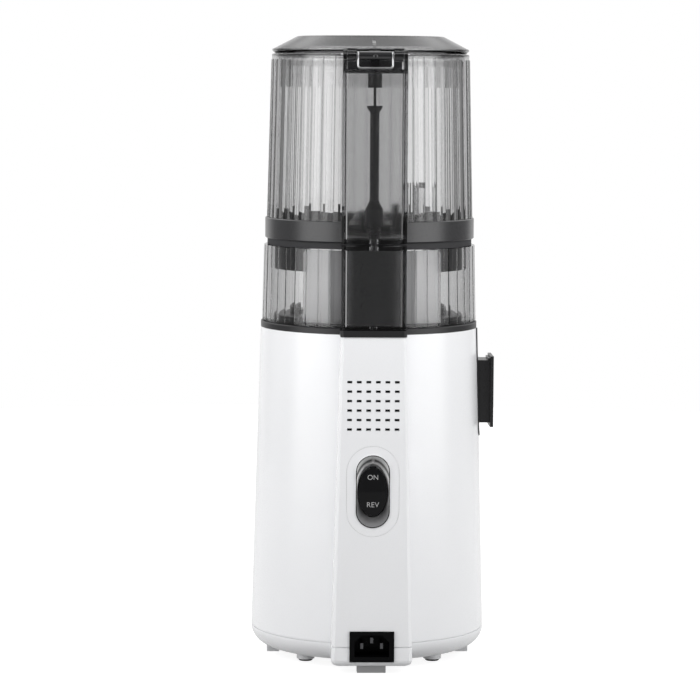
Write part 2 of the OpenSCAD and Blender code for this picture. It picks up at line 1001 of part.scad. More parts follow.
// The lower cup, which stands in the housing's recess round the drive shaft's boss
module bowl_cup() {
  color(smoke)
    difference() {
      union() {
        turned([
          [hub_in, bowl_z], [bowl_r, bowl_z], [bowl_r, collar_z], [bowl_in, collar_z],
          [bowl_in, bowl_floor], [hub_in, bowl_floor]
        ]);
        ring(hub_r, hub_in, bowl_z, bowl_z + 13.5);
      }
      // Ways out for the pulp and for the juice
      outwards(180, 60, bowl_r + 2)
        translate([-chute_w / 2, chute_mid - chute_h / 2 + 5.5])
          square([chute_w, chute_h - 11]);
      outwards(-90, 60, bowl_r + 2)
        translate([0, spout_z])
          circle(d = spout_bore);
    }
}

module chamber_bowl() {
  column_top = ring_z - 1.4;
  color(smoke)
    difference() {
      union() {
        // The foot is narrower, so a dark line shows over the collar
        rod(chamber_r0 - 2.2, collar_z, collar_z + step_t);
        column_block(chamber_column_y, collar_z, collar_z + step_t, 1);
        fluted_cone(chamber_r0, chamber_r1, collar_z + foot_shadow, chamber_top);
        column_block(chamber_column_y, collar_z + foot_shadow, column_top);
      }
      // The room inside, over the step that rests on the lower cup
      turned([
        [0, collar_z - 1], [bowl_in, collar_z - 1], [bowl_in, collar_z + step_t],
        [chamber_in0, collar_z + step_t], [chamber_in1, chamber_top + eps],
        [ring_in - 0.15, chamber_top + 0.1], [ring_in - 0.15, column_top + 1],
        [0, column_top + 1]
      ]);
      difference() {
        column_block(chamber_column_y, collar_z + step_t, column_top - column_wall, column_wall);
        turned([
          [0, collar_z], [chamber_r0, collar_z], [chamber_r1, chamber_top], [chamber_r1, column_top],
          [0, column_top]
        ]);
      }
      rod(push_hole, collar_z - 1, column_top + 1, [0, rod_y]);
    }
}

module chamber_seal() {
  color(rubber)
    ring(hub_in, boss_r + running, bowl_z + 8.5, bowl_z + 11);
}

module strainer() {
  slits = 36;
  foot_z = bowl_floor;
  slit_z = bowl_floor + 12;
  top_r = bowl_in - 1;
  color(satin)
    difference() {
      union() {
        turned([
          [strainer_r0 - strainer_wall - 0.6, foot_z], [strainer_r0 + 2, foot_z],
          [strainer_r0 + 2, foot_z + 4], [strainer_r0, foot_z + 6],
          [strainer_r1, strainer_top - 6], [top_r, strainer_top - 4], [top_r, strainer_top + 4.4],
          [top_r - 2, strainer_top + 5], [strainer_r1 - strainer_wall, strainer_top + 5],
          [strainer_r1 - strainer_wall, strainer_top - 6],
          [strainer_r0 - strainer_wall, foot_z + 6]
        ]);
        // Ribs that stiffen the basket
        intersection() {
          for (a = [0:30:330])
            rotate([0, 0, a + 5])
              block([strainer_r0 - 2, strainer_r1 + 4], [-1, 1], [foot_z + 2, strainer_top - 3]);
          turned([
            [strainer_r0 - 1, foot_z + 2], [strainer_r0 + 3.5, foot_z + 2],
            [strainer_r1 + 3.5, strainer_top - 3], [strainer_r1 - 1, strainer_top - 3]
          ]);
        }
        // Two bowed grips on the rim
        for (a = [0, 180])
          rotate([0, 0, a - 26])
            rotate_extrude(angle = 52)
              polygon(concat(
                [[strainer_r1 + 1, strainer_top + 4]],
                [[strainer_r1 + 4, strainer_top + 4]],
                arc([strainer_r1 + 2.5, strainer_top + 9], 1.5, 0, 180, 4)
              ));
      }
      for (i = [0:slits - 1])
        rotate([0, 0, i * 360 / slits])
          block([strainer_r0 - 4, strainer_r1 + 1], [-0.45, 0.45], [slit_z, strainer_top - 12]);
      // Gate in the basket's foot for the pulp
      outwards(180, strainer_r0 - 6, strainer_r0 + 6)
        translate([-8, foot_z + 1])
          square([16, 8]);
    }
}

// The room between the strainer and the way out holds the pulp chute's throat
module pulp_chute() {
  mid = chute_mid;
  low = mid - chute_h / 2 + 3;
  high = mid + chute_h / 2 - 3;
  front = housing_at(mid) + chute_out;
  color(black)
    difference() {
      union() {
        intersection() {
          chute_slot(chute_hw + 0.6, bowl_r - 5, 100, collar_z - 0.3);
          ring(housing_r - 0.4, bowl_r, chute_z - 10, collar_z - 0.3);
        }
        outwards(180, bowl_r - 3, front)
          translate([-chute_hw, low])
            square([2 * chute_hw, high - low]);
        outwards(180, front - 2.3, front)
          translate([-chute_hw - 3, chute_z])
            square([2 * chute_hw + 6, chute_h]);
        // Lip that stiffens the frame's top edge
        outwards(180, front - 4, front - 2)
          translate([-chute_hw, high - 1])
            square([2 * chute_hw, 2.5]);
      }
      rod(bowl_r, chute_z - 20, collar_z);
      outwards(180, bowl_r - 10, front + 1)
        translate([-chute_w / 2, low + 2.5])
          square([chute_w, high - low - 5]);
    }
}

module juice_spout() {
  front = housing_at(spout_z) + spout_out;
  color(smoke)
    difference() {
      union() {
        intersection() {
          spout_slot(spout_hw - 0.4, bowl_r - 5, 100, collar_z - 0.3);
          ring(housing_r - 0.4, bowl_r, cup_floor, collar_z - 0.3);
        }
        outwards(-90, bowl_r - 3, front)
          translate([0, spout_z])
            circle(spout_r);
        outwards(-90, front - 3, front)
          translate([0, spout_z])
            circle(spout_r + 1.5);
        // Ears for the cap's pin
        for (x = [-5.5, 3.5])
          block([x, x + 2], [2 - front, 10 - front], [spout_z + spout_r - 2, cap_pin_z() + 2]);
      }
      rod(bowl_r, cup_floor - 1, collar_z);
      outwards(-90, bowl_r - 10, front + 1)
        translate([0, spout_z])
          circle(d = spout_bore);
      cross_rod(1, 8, 6 - front, cap_pin_z());
    }
}

function cap_pin_z() = spout_z + spout_r + 3.5;

module cap_pin() {
  front = housing_at(spout_z) + spout_out;
  color(steel)
    cross_rod(1, 5.5, 6 - front, cap_pin_z());
}

module juice_cap() {
  front = housing_at(spout_z) + spout_out;
  color(black)
    difference() {
      union() {
        outwards(-90, front + 0.4, front + 3.4)
          translate([0, spout_z])
            circle(spout_r + 2.5);
        block([-3.1, 3.1], [-front - 3.4, -front - 0.6], [spout_z, cap_pin_z() + 1.5]);
        block([-3.1, 3.1], [-front - 3.4, 7 - front], [cap_pin_z() - 0.5, cap_pin_z() + 2.2]);
        cross_rod(2.2, 3.1, 6 - front, cap_pin_z());
        // Thumb tab
        block([-4.5, 4.5], [-front - 11, -front - 3], [cap_pin_z() + 0.2, cap_pin_z() + 2.2]);
      }
      cross_rod(1 + running, 8, 6 - front, cap_pin_z());
    }
}

module cap_seal() {
  front = housing_at(spout_z) + spout_out;
  // Tapered, so that it clears the bore as the cap swings
  color(rubber)
    translate([0, -front - 0.4, spout_z])
      rotate([-90, 0, 0])
        cylinder(r1 = spout_bore / 2 - slide_gap, r2 = spout_bore / 2 - 1.7, h = 2.4);
}

module lower_push_pin() {
  collar = chamber_top - 2.8 - travel;
  color(black) {
    rod(push_r, collar_z + 0.5, ring_z - 1, [0, rod_y]);
    rod(4.6, collar - 2, collar, [0, rod_y]);
  }
}

/* The auger */

// Two wings round a core, drawn as one section of the screw
module screw_section(core, wing) {
  circle(core, $fn = 24);
  for (a = [0, 180])
    rotate(a)
      polygon([
        [0, -core * 0.9], [core, -core * 0.55], [wing * 0.8, -2.2], [wing, -1],
        [wing, 1.6], [wing * 0.8, 2.6], [core, core * 0.75], [0, core]
      ]);
}

module auger() {
  waist = housing_h + 2;
  color(black)
    difference() {
      union() {
        turned([
          [0, auger_z], [auger_r0 - 12, auger_z], [auger_r0 - 1, auger_z + 3], [auger_r0 - 1, auger_z + 6],
          [auger_r0 - 20, auger_z + 16], [0, auger_z + 16]
        ]);
        translate([0, 0, auger_z + 5])
          linear_extrude(waist - auger_z - 5, twist = -300, slices = 30, segments = 4, scale = auger_r1 / auger_r0)
            screw_section(auger_r0 * 0.45, auger_r0);
        translate([0, 0, waist - eps])
          linear_extrude(chamber_top - 18 - waist, twist = -120, slices = 12, segments = 4, scale = 0.8)
            screw_section(neck_r, neck_r + 8);
        rod(neck_r - 2.5, chamber_top - 18 - 1, neck_top);
        hex(pin_af, neck_top - eps, neck_top + 13);
      }
      difference() {
        rod(hub_r + 2.4, auger_z - 1, auger_z + 10);
        rod(boss_r, auger_z, auger_z + 11);
      }
      hex(hex_af + 0.4, auger_z - 1, hex_z + hex_h + 1);
    }
}

module auger_bush() {
  color(nylon)
    ring(hub_r + 2.4, hub_r + running, auger_z, auger_z + 8);
}

/* The hopper */

module hopper() {
  low = column_low;
  color(smoke)
    difference() {
      union() {
        turned([[0, ring_z], [ring_in, ring_z], [ring_in, flute_z], [0, flute_z]]);
        fluted_cone(hopper_r0, hopper_r1 + flute_rise * 0.6, flute_z, rim_z);
        turned([[0, rim_z], [lid_r + 0.1, rim_z], [lid_r + 0.1, lid_z - 0.4], [lid_r - 0.3, lid_z], [0, lid_z]]);
        column_block(column_y, low, cap_z + column_wall);
        // Ears that hold the hinge pin
        for (s = [-1, 1])
          block([s * ear_out - (s > 0 ? ear_t : 0), s * ear_out + (s > 0 ? 0 : ear_t)],
            [hopper_r1 - 2, column_y], [cap_z, hinge_z]);
        difference() {
          cross_rod(4.4, ear_out, hinge_y, hinge_z);
          block([ear_t - ear_out, ear_out - ear_t], [hinge_y - 9, hinge_y + 9], [hinge_z - 9, hinge_z + 9]);
        }
      }
      turned([
        [0, low - 1], [ring_in - clear_wall, low - 1], [hopper_in0, flute_z],
        [hopper_in1, lid_z + 1], [0, lid_z + 1]
      ]);
      difference() {
        column_block(column_y, low + column_wall, cap_z, column_wall);
        turned([
          [0, low], [hopper_r0 + 0.2, low], [hopper_r0 + 0.2, flute_z],
          [hopper_r1 + 0.7, cap_z + 1], [0, cap_z + 1]
        ]);
      }
      rod(push_hole, low - 1, low + column_wall + 1, [0, rod_y]);
      rod(1.3, cap_z - 1, cap_z + column_wall + 1, [0, rod_y]);
      cross_rod(hinge_r, column_w, hinge_y, hinge_z);
    }
}

module hopper_ring() {
  color(satin)
    difference() {
      turned([
        [ring_in, ring_z], [ring_r - 0.6, ring_z], [ring_r, ring_z + 0.6], [ring_r, flute_z - 0.6],
        [ring_r - 0.6, flute_z], [ring_in, flute_z]
      ]);
      block([-column_w / 2, column_w / 2], [40, spine_y], [ring_z - 1, flute_z + 1]);
    }
}

module hopper_gasket() {
  color(rubber)
    ring(ring_in - 0.2, spigot_r, chamber_top + 0.2, ring_z);
}

// The floor under the hopper, with its feed opening and ribs
module hopper_floor() {
  r = ring_in - clear_wall - 0.2;
  color(satin)
    difference() {
      union() {
        turned([
          [neck_r, ring_z], [r, ring_z], [r, ring_z + 3], [neck_r + 6, ring_z + 3],
          [neck_r + 6, ring_z + 4], [neck_r, ring_z + 4]
        ]);
        // Short ribs that stop the food from turning with the blade
        for (a = [10:40:350])
          rotate([0, 0, a])
            block([r - 9, r - 0.5], [-2.2, 2.2], [ring_z + 2, flute_z + 6.5]);
      }
      // Feed opening, most of half a turn wide
      intersection() {
        ring(r - 14, neck_r + 6, ring_z - 1, ring_z + 5);
        rotate([0, 0, -165])
          translate([0, 0, ring_z - 1])
            rotate_extrude(angle = 150)
              square([r, 6]);
      }
    }
}

// Two skirts under the floor that centre the hopper in the chamber
module hopper_spigot() {
  color(satin)
    for (a = [-48, 132])
      rotate([0, 0, a])
        rotate_extrude(angle = 96)
          polygon([
            [spigot_r - 3, chamber_top - 17], [spigot_r, chamber_top - 17],
            [spigot_r, ring_z], [spigot_r - 3, ring_z]
          ]);
}

module plunger_bush() {
  color(black)
    translate([0, rod_y, 0])
      ring(5, 1 + running, cap_z - 10, cap_z);
}

module hinge_pin() {
  color(steel)
    cross_rod(hinge_r, column_w / 2 + 1.3, hinge_y, hinge_z);
}

module hinge_sleeve() {
  color(black)
    difference() {
      cross_rod(3.2, clip_half - 0.8, hinge_y, hinge_z);
      cross_rod(hinge_r, clip_half, hinge_y, hinge_z);
      translate([0, hinge_y + 5, hinge_z])
        sphere(2.4, $fn = 32);
    }
}

// A bent wire that leans on the pin beside the sleeve and lies on the column's cap
module hinge_clip() {
  wire = 0.7;
  half = clip_half;
  y = hinge_y + hinge_r + wire;
  low = cap_z + column_wall + wire;
  bend = 2;
  color(steel) {
    for (s = [-1, 1]) {
      translate([s * half, y, low + bend])
        cylinder(r = wire, h = hinge_z - low - bend + 3, $fn = 24);
      translate([s * (half - bend), y, low + bend])
        rotate([90, s > 0 ? 90 : 180, 0])
          rotate_extrude(angle = 90, $fn = 24)
            translate([bend, 0])
              circle(wire, $fn = 24);
    }
    translate([bend - half, y, low])
      rotate([0, 90, 0])
        cylinder(r = wire, h = 2 * (half - bend), $fn = 24);
  }
}

module rod_spring() {
  color(steel)
    translate([0, rod_y, 0])
      coil(4.4, 0.6, column_low + column_wall, column_low + column_wall + 8.8, 4);
}

module push_rod() {
  seat_z = column_low + column_wall + 8.8;
  collar = cap_z - 27.6;
  color(black)
    translate([0, rod_y, 0]) {
      rod(push_r, ring_z - 1, seat_z + 1);
      turned([
        [0, seat_z], [6.3, seat_z], [6.3, seat_z + 12], [3.25, seat_z + 18], [3.25, collar],
        [5.5, collar + 4], [5.5, collar + 5], [0, collar + 5]
      ]);
      rod(1, collar + 4, cap_z + column_wall + 1);
    }
}

/* The cutting blade over the hopper's floor */

module cutting_blade() {
  wing_r = 43;
  wing_t = 3.2;
  hub = 16;
  color(smoke)
    difference() {
      union() {
        turned([[0, cutter_z], [hub, cutter_z], [hub, cutter_z + 6], [9, cutter_z + 15], [0, cutter_z + 17]]);
        // The wing stands on an arm of the hub and slopes down to its outer edge
        rotate([0, 0, 128])
          rotate_extrude(angle = 34)
            polygon([
              [wing_r - wing_t, cutter_z + 0.5], [wing_r, cutter_z + 0.5],
              [wing_r, cutter_z + 33], [wing_r - wing_t, cutter_z + 37]
            ]);
        rotate([0, 0, 145])
          block([10, wing_r - 1], [-4, 4], [cutter_z, cutter_z + 5]);
      }
      hex(pin_af + 0.4, cutter_z - 1, neck_top + 14);
    }
}

// It turns in the floor's bore, round the auger's neck
module cutter_bush() {
  color(nylon)
    ring(neck_r - running, neck_r - 2.1, ring_z + 0.2, cutter_z);
}

/* The lid */

module lid() {
  t = 2.7;
  under = lid_z + 0.2;
  color(smoke)
    difference() {
      union() {
        turned(concat(
          [[0, overall_h], [lid_flat_r - 2, overall_h]],
          [[lid_flat_r, overall_h - 0.25], [lid_r - 1.1, lid_z + 3.9]],
          arc([lid_r - 1, lid_z + 2.9], 1, 60, -45, 4),
          [[hopper_in1 + 0.6, under], [skirt_r, under], [skirt_r, lid_z - skirt_drop],
            [skirt_r - 2, lid_z - skirt_drop], [skirt_r - 2, lid_z + 3.6],
            [lid_flat_r - 1.5, overall_h - t], [0, overall_h - t]]
        ));
        // Two arms with knuckles on the pin, and the tongue that presses the plunger
        for (s = [-1, 1]) {
          block([s * arm_x - arm_half, s * arm_x + arm_half], [skirt_r - 1, hinge_y], [under, lid_z + 3.4]);
          translate([s * arm_x, 0, 0])
            cross_rod(4, arm_half, hinge_y, hinge_z);
        }
        block([-4, 4], [skirt_r - 1, rod_y + 1], [under, lid_z + 3.4]);
        block([-3, 3], [rod_y - 1, rod_y + 1], [cap_z + column_wall + 1.15, lid_z + 2]);
        // Stiffening rib down the back of the cone
        translate([-1.2, 0, 0])
          rotate([90, 0, 90])
            linear_extrude(2.4)
              polygon([
                [lid_flat_r + 8, lid_z + 4], [lid_flat_r + 8, overall_h - 4.2],
                [lid_r + 3, lid_z + 3.2], [lid_r + 3, lid_z + 2]
              ]);
      }
      cross_rod(hinge_r + running, column_w, hinge_y, hinge_z);
    }
}

module lid_gasket() {
  color(rubber)
    ring(skirt_r + 1.1, skirt_r, lid_z - 9, lid_z - 5);
}

housing();
base_cover();
rubber_feet();
rear_foot();
base_screws();
switch_surround();
switch_cup();
switch_module();
power_inlet();
inlet_pins();
vent_baffle();
chute_trim();
spout_trim();
deck_cup();
shaft_seal();
motor_can();
motor_end_cap();
stator();
gearbox_case();
gearbox_cover();
gearbox_screws();
output_bearing();
idler_axle();
control_board();
interlock_switch();
rotor();
motor_pinion();
cooling_fan();
idler_gear();
output_gear();
drive_shaft();
bowl_cup();
chamber_bowl();
chamber_seal();
strainer();
pulp_chute();
juice_spout();
cap_pin();
auger();
auger_bush();
juice_cap();
cap_seal();
hopper();
hopper_ring();
hopper_gasket();
hopper_floor();
hopper_spigot();
plunger_bush();
hinge_pin();
hinge_sleeve();
hinge_clip();
rod_spring();
cutting_blade();
cutter_bush();
lid();
lid_gasket();
push_rod();
lower_push_pin();
interlock_button();
switch_rocker();
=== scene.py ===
import math

import bmesh
import bpy
from mathutils import Matrix, Vector


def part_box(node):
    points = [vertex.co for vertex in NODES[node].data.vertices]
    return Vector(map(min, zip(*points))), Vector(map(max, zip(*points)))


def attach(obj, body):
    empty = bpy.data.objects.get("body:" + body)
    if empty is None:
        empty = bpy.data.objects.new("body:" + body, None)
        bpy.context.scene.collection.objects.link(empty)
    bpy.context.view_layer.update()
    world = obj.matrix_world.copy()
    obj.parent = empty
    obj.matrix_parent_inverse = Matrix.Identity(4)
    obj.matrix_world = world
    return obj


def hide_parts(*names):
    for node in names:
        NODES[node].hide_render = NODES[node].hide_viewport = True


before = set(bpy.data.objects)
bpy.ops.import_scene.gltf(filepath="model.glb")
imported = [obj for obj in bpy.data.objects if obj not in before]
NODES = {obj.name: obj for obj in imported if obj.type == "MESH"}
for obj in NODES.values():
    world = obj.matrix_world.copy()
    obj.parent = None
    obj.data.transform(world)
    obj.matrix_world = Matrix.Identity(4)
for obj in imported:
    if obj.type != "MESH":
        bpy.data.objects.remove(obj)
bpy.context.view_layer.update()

bl_info = {
    "name": "Cold Press Juicer",
    "version": (1, 0, 0),
    "blender": (4, 5, 0),
    "location": "View3D > Sidebar > Juicer",
    "description": "Finishes and small moulded details of an upright cold press juicer",
    "category": "Object",
}

FLUTES = 48                       # round the chamber's wall, and round the hopper's
FLUTE_POINTS = 5                  # of the chamber's wall, along each flute
FLUTE_RISE = 0.00075              # of each flute in the chamber's wall
COLUMN_HALF = 0.023               # half the width of the rear column
COLUMN_REAR = 0.076               # the column's rear faces lie behind this Y
NOWHERE = 9.0                     # a height that nothing reaches
NOISE_LOW, NOISE_HIGH = 0.3, 0.7  # nearly all of a noise lies between these
ROCKER_SLOPE = math.radians(4)    # of each half of the rocker


# ---------------------------------------------------------------- nodes

def new_material(name):
    """An empty node material with its output."""
    mat = bpy.data.materials.new(name)
    mat.use_nodes = True
    tree = mat.node_tree
    tree.nodes.clear()
    out = tree.nodes.new("ShaderNodeOutputMaterial")
    return mat, tree, out


def principled(mat):
    """The main shader of a finish."""
    return next(node for node in mat.node_tree.nodes if node.type == "BSDF_PRINCIPLED")


def object_coordinates(tree, stretch):
    """The piece's own coordinates, in metres, stretched along each axis."""
    where = tree.nodes.new("ShaderNodeTexCoord")
    mapping = tree.nodes.new("ShaderNodeMapping")
    mapping.inputs["Scale"].default_value = stretch
    tree.links.new(where.outputs["Object"], mapping.inputs["Vector"])
    return mapping.outputs["Vector"]


def noise(tree, vector, scale):
    """A noise with so many lumps to the metre."""
    node = tree.nodes.new("ShaderNodeTexNoise")
    node.inputs["Scale"].default_value = scale
    node.inputs["Detail"].default_value = 2.0
    node.inputs["Roughness"].default_value = 0.55
    tree.links.new(vector, node.inputs["Vector"])
    return node.outputs["Fac"]


def mapped(tree, value, low, high, start=0.0, end=1.0, curve="LINEAR"):
    """Maps low to high onto start to end, and keeps to those two beyond."""
    node = tree.nodes.new("ShaderNodeMapRange")
    node.interpolation_type = curve
    node.inputs["From Min"].default_value = low
    node.inputs["From Max"].default_value = high
    node.inputs["To Min"].default_value = start
    node.inputs["To Max"].default_value = end
    tree.links.new(value, node.inputs["Value"])
    return node.outputs["Result"]


def colour_stops(tree, value, stops):
    """A colour chosen by a value, from stops of a position and a colour."""
    ramp = tree.nodes.new("ShaderNodeValToRGB")
    elements = ramp.color_ramp.elements
    while len(elements) < len(stops):
        elements.new(0.5)
    for element, (position, colour) in zip(elements, stops):
        element.position = position
        element.color = (*colour, 1)
    tree.links.new(value, ramp.inputs["Fac"])
    return ramp.outputs["Color"]


def relief(tree, value, strength, distance):
    """A surface raised and sunk by a value, up to a distance in metres."""
    bump = tree.nodes.new("ShaderNodeBump")
    bump.inputs["Strength"].default_value = strength
    bump.inputs["Distance"].default_value = distance
    tree.links.new(value, bump.inputs["Height"])
    return bump.outputs["Normal"]


def combine(tree, kind, a, b=None):
    """One step of arithmetic on sockets or floats."""
    node = tree.nodes.new("ShaderNodeMath")
    node.operation = kind
    for value, entry in zip((a, b), node.inputs):
        if isinstance(value, float):
            entry.default_value = value
        elif value is not None:
            tree.links.new(value, entry)
    return node.outputs[0]


def axes(tree, vector):
    """The X, Y and Z of a vector."""
    split = tree.nodes.new("ShaderNodeSeparateXYZ")
    tree.links.new(vector, split.inputs[0])
    return split.outputs


# ---------------------------------------------------------------- zones
# A zone is a socket that is 1 on a part of a piece and 0 on the rest of it.

def place_on(tree):
    """X, Y and Z of a point on the piece, in metres."""
    return axes(tree, tree.nodes.new("ShaderNodeTexCoord").outputs["Object"])


def facing_on(tree):
    """X, Y and Z of the way that the surface faces."""
    return axes(tree, tree.nodes.new("ShaderNodeTexCoord").outputs["Normal"])


def over(tree, value, edge, soft=0.0003, most=1.0):
    """0 below an edge and the most, usually 1, above it."""
    return mapped(tree, value, edge - soft, edge + soft, end=most)


def both(tree, a, b):
    """The zone that two zones share."""
    return combine(tree, "MULTIPLY", a, b)


def either(tree, a, b):
    """The zone that two zones make together."""
    return combine(tree, "MAXIMUM", a, b)


def outside(tree, zone):
    """The rest of the piece."""
    return combine(tree, "SUBTRACT", 1.0, zone)


def beyond(tree, place, half, soft=0.0003):
    """On both sides of the middle, further out than half a width."""
    return over(tree, combine(tree, "ABSOLUTE", place["X"]), half, soft)


def painted_edge_and_rim_shade(half, cap=NOWHERE, rim=NOWHERE):
    """Painted shade on the rear faces of a column's side walls and cap, which are looked through along
    their depth, and on a band under the lid."""
    def zone(tree):
        place, facing = place_on(tree), facing_on(tree)
        wall = either(tree, beyond(tree, place, half), over(tree, place["Z"], cap))
        rear = both(tree, over(tree, facing["Y"], 0.9, 0.05), over(tree, place["Y"], COLUMN_REAR))
        # Painted shade in the band at the hopper's rim, under the lid
        band = over(tree, place["Z"], rim, most=0.64)
        return either(tree, both(tree, wall, rear), band)
    return zone


def painted_valley_lines(foot, width):
    """Thin lines of painted shade along the sharp valleys between the hopper's flutes, above its ring and
    outside its column.
    """
    def zone(tree):
        place = place_on(tree)
        turn = combine(tree, "ARCTAN2", place["Y"], place["X"])
        # 0 in a valley and 0.5 on the crest between two of them
        lobe = combine(tree, "PINGPONG", combine(tree, "MULTIPLY", turn, FLUTES / (2 * math.pi)), 0.5)
        line = outside(tree, over(tree, lobe, width, width / 2))
        fluted = either(tree, beyond(tree, place, COLUMN_HALF + 0.0005),
                        outside(tree, over(tree, place["Y"], 0.0)))
        return both(tree, both(tree, line, fluted), over(tree, place["Z"], foot))
    return zone


def liner_shade_strip(half):
    """The liner's part beside the hopper's column, darkened by painted shade."""
    return lambda tree: outside(tree, beyond(tree, place_on(tree), half))


def lid_top(rim, skirt):
    """The lid's dome and brim over its rim, and the arms that stand out behind its skirt.
    The stiffening rib stays clear."""
    rib_half, rib_foot, rib_front = 0.00125, rim + 0.0026, 0.06

    def zone(tree):
        place = place_on(tree)
        dark = either(tree, over(tree, place["Z"], rim), over(tree, place["Y"], skirt))
        beside = beyond(tree, place, rib_half, 0.0001)
        low = outside(tree, over(tree, place["Z"], rib_foot))
        front = outside(tree, over(tree, place["Y"], rib_front))
        return both(tree, dark, either(tree, beside, either(tree, low, front)))
    return zone


def cup_rim_shadow(face):
    """The flat rim round the switch cup's dish, 0.9 mm deep, where a black outline is painted as the shadow
    of the gap round the cup.
    """
    def zone(tree):
        return both(tree, over(tree, facing_on(tree)["Y"], 0.9, 0.03),
                    over(tree, place_on(tree)["Y"], face - 0.0009))
    return zone


def cup_foot(middle):
    """The lower half of the switch cup, where the dish lies in the rocker's shade."""
    return lambda tree: mapped(tree, place_on(tree)["Z"], middle + 0.006, middle - 0.012)


def shade_zone(mat, zone, shade):
    """Turns a finish into a grey shade in a zone."""
    tree = mat.node_tree
    base = principled(mat).inputs["Base Color"]
    mix = tree.nodes.new("ShaderNodeMix")
    mix.data_type = "RGBA"
    mix.inputs["A"].default_value = tuple(base.default_value)
    if base.is_linked:
        tree.links.new(base.links[0].from_socket, mix.inputs["A"])
    mix.inputs["B"].default_value = (shade, shade, shade * 1.02, 1)
    tree.links.new(zone(tree), mix.inputs["Factor"])
    tree.links.new(mix.outputs["Result"], base)


def unplate(mat, zone, metallic):
    """Takes the metal out of a finish in a zone."""
    tree = mat.node_tree
    plated = combine(tree, "MULTIPLY", outside(tree, zone(tree)), metallic)
    tree.links.new(plated, principled(mat).inputs["Metallic"])


# ---------------------------------------------------------------- finishes

def tone(colour, factor):
    """A colour made darker or lighter."""
    return tuple(min(1.0, c * factor) for c in colour)


def solid_finish(name, colour, rough, grain=1500, depth=0.00002, metallic=0.0, coat=0.0,
                 coat_rough=0.08, variation=0.03, stretch=(1, 1, 1), spec=0.5, rough_spread=0.05):
    """An opaque moulded, cast or turned surface: fine grain, a slow drift of tone and gloss."""
    mat, tree, out = new_material(name)
    shader = tree.nodes.new("ShaderNodeBsdfPrincipled")
    where = object_coordinates(tree, stretch)
    drift = noise(tree, where, 14)
    fine = noise(tree, where, grain)
    tones = (NOISE_LOW, tone(colour, 1 - variation)), (NOISE_HIGH, tone(colour, 1 + variation))
    tree.links.new(colour_stops(tree, drift, tones), shader.inputs["Base Color"])
    gloss = mapped(tree, fine, NOISE_LOW, NOISE_HIGH, rough - rough_spread, rough + rough_spread)
    tree.links.new(gloss, shader.inputs["Roughness"])
    tree.links.new(relief(tree, fine, 0.6, depth), shader.inputs["Normal"])
    shader.inputs["Metallic"].default_value = metallic
    shader.inputs["Coat Weight"].default_value = coat
    shader.inputs["Coat Roughness"].default_value = coat_rough
    shader.inputs["Specular IOR Level"].default_value = spec
    tree.links.new(shader.outputs[0], out.inputs["Surface"])
    mat.diffuse_color = (*colour, 1)
    return mat


def smoke_finish(name, density, tint, rough=0.004, light_share=0.75):
    """Clear smoke plastic. It darkens with the thickness of plastic that is looked through."""
    mat, tree, out = new_material(name)
    clear = tree.nodes.new("ShaderNodeBsdfPrincipled")
    clear.inputs["Base Color"].default_value = (1, 1, 1, 1)
    clear.inputs["Transmission Weight"].default_value = 1.0
    clear.inputs["IOR"].default_value = 1.49
    clear.inputs["Roughness"].default_value = rough
    waves = noise(tree, object_coordinates(tree, (1, 1, 0.25)), 90)
    tree.links.new(relief(tree, waves, 0.5, 0.000008), clear.inputs["Normal"])
    # Lamps reach the pieces inside through the plastic
    through = tree.nodes.new("ShaderNodeBsdfTransparent")
    through.inputs["Color"].default_value = (light_share, light_share, light_share, 1)
    path = tree.nodes.new("ShaderNodeLightPath")
    mix = tree.nodes.new("ShaderNodeMixShader")
    tree.links.new(path.outputs["Is Shadow Ray"], mix.inputs["Fac"])
    tree.links.new(clear.outputs[0], mix.inputs[1])
    tree.links.new(through.outputs[0], mix.inputs[2])
    tree.links.new(mix.outputs[0], out.inputs["Surface"])
    inside = tree.nodes.new("ShaderNodeVolumeAbsorption")
    inside.inputs["Color"].default_value = (*tint, 1)
    inside.inputs["Density"].default_value = density
    tree.links.new(inside.outputs[0], out.inputs["Volume"])
    mat.diffuse_color = (0.35, 0.35, 0.36, 0.6)
    return mat


def painted_dish_reflection(mat, middle, brightest):
    """Painted reflection: bands of light and dark round the rocker, as a polished dish mirrors them, set as
    the cup's colour.
    """
    tree = mat.node_tree
    place = place_on(tree)
    half_width, half_height, dish_edge = 0.0104, 0.017, 2.4
    across = combine(tree, "DIVIDE", place["X"], half_width)
    rise = combine(tree, "DIVIDE", combine(tree, "SUBTRACT", place["Z"], middle), half_height)
    # 1 on the rocker's rounded outline, and more outside it
    square = combine(tree, "ADD", combine(tree, "MULTIPLY", across, across),
                     combine(tree, "MULTIPLY", rise, rise))
    reach = mapped(tree, square, 1.0, dish_edge)
    bands = ((0.0, 1.0), (0.3, 0.9), (0.42, 0.16), (0.5, 0.16), (0.62, 0.7), (1.0, 0.8))
    stops = [(position, (grey * brightest,) * 3) for position, grey in bands]
    tree.links.new(colour_stops(tree, reach, stops), principled(mat).inputs["Base Color"])


# ---------------------------------------------------------------- meshes

def paint(material, *names):
    """Gives CAD pieces one material on every slot."""
    for name in names:
        mesh = NODES[name].data
        if not mesh.materials:
            mesh.materials.append(material)
        for i in range(len(mesh.materials)):
            mesh.materials[i] = material
        for face in mesh.polygons:
            face.material_index = 0


def round_off(mesh, angle):
    """Shades a mesh smoothly and keeps edges sharper than the angle, in degrees."""
    mesh.shade_smooth()
    mesh.set_sharp_from_angle(angle=math.radians(angle))


def smooth(*names, angle=32):
    """Rounds off CAD pieces."""
    for name in names:
        round_off(NODES[name].data, angle)


def closed_mesh(name, made):
    """A mesh from a bmesh, with its faces outward and its bends smooth."""
    mesh = bpy.data.meshes.new(name)
    bmesh.ops.recalc_face_normals(made, faces=made.faces)
    made.to_mesh(mesh)
    made.free()
    round_off(mesh, 30)
    return mesh


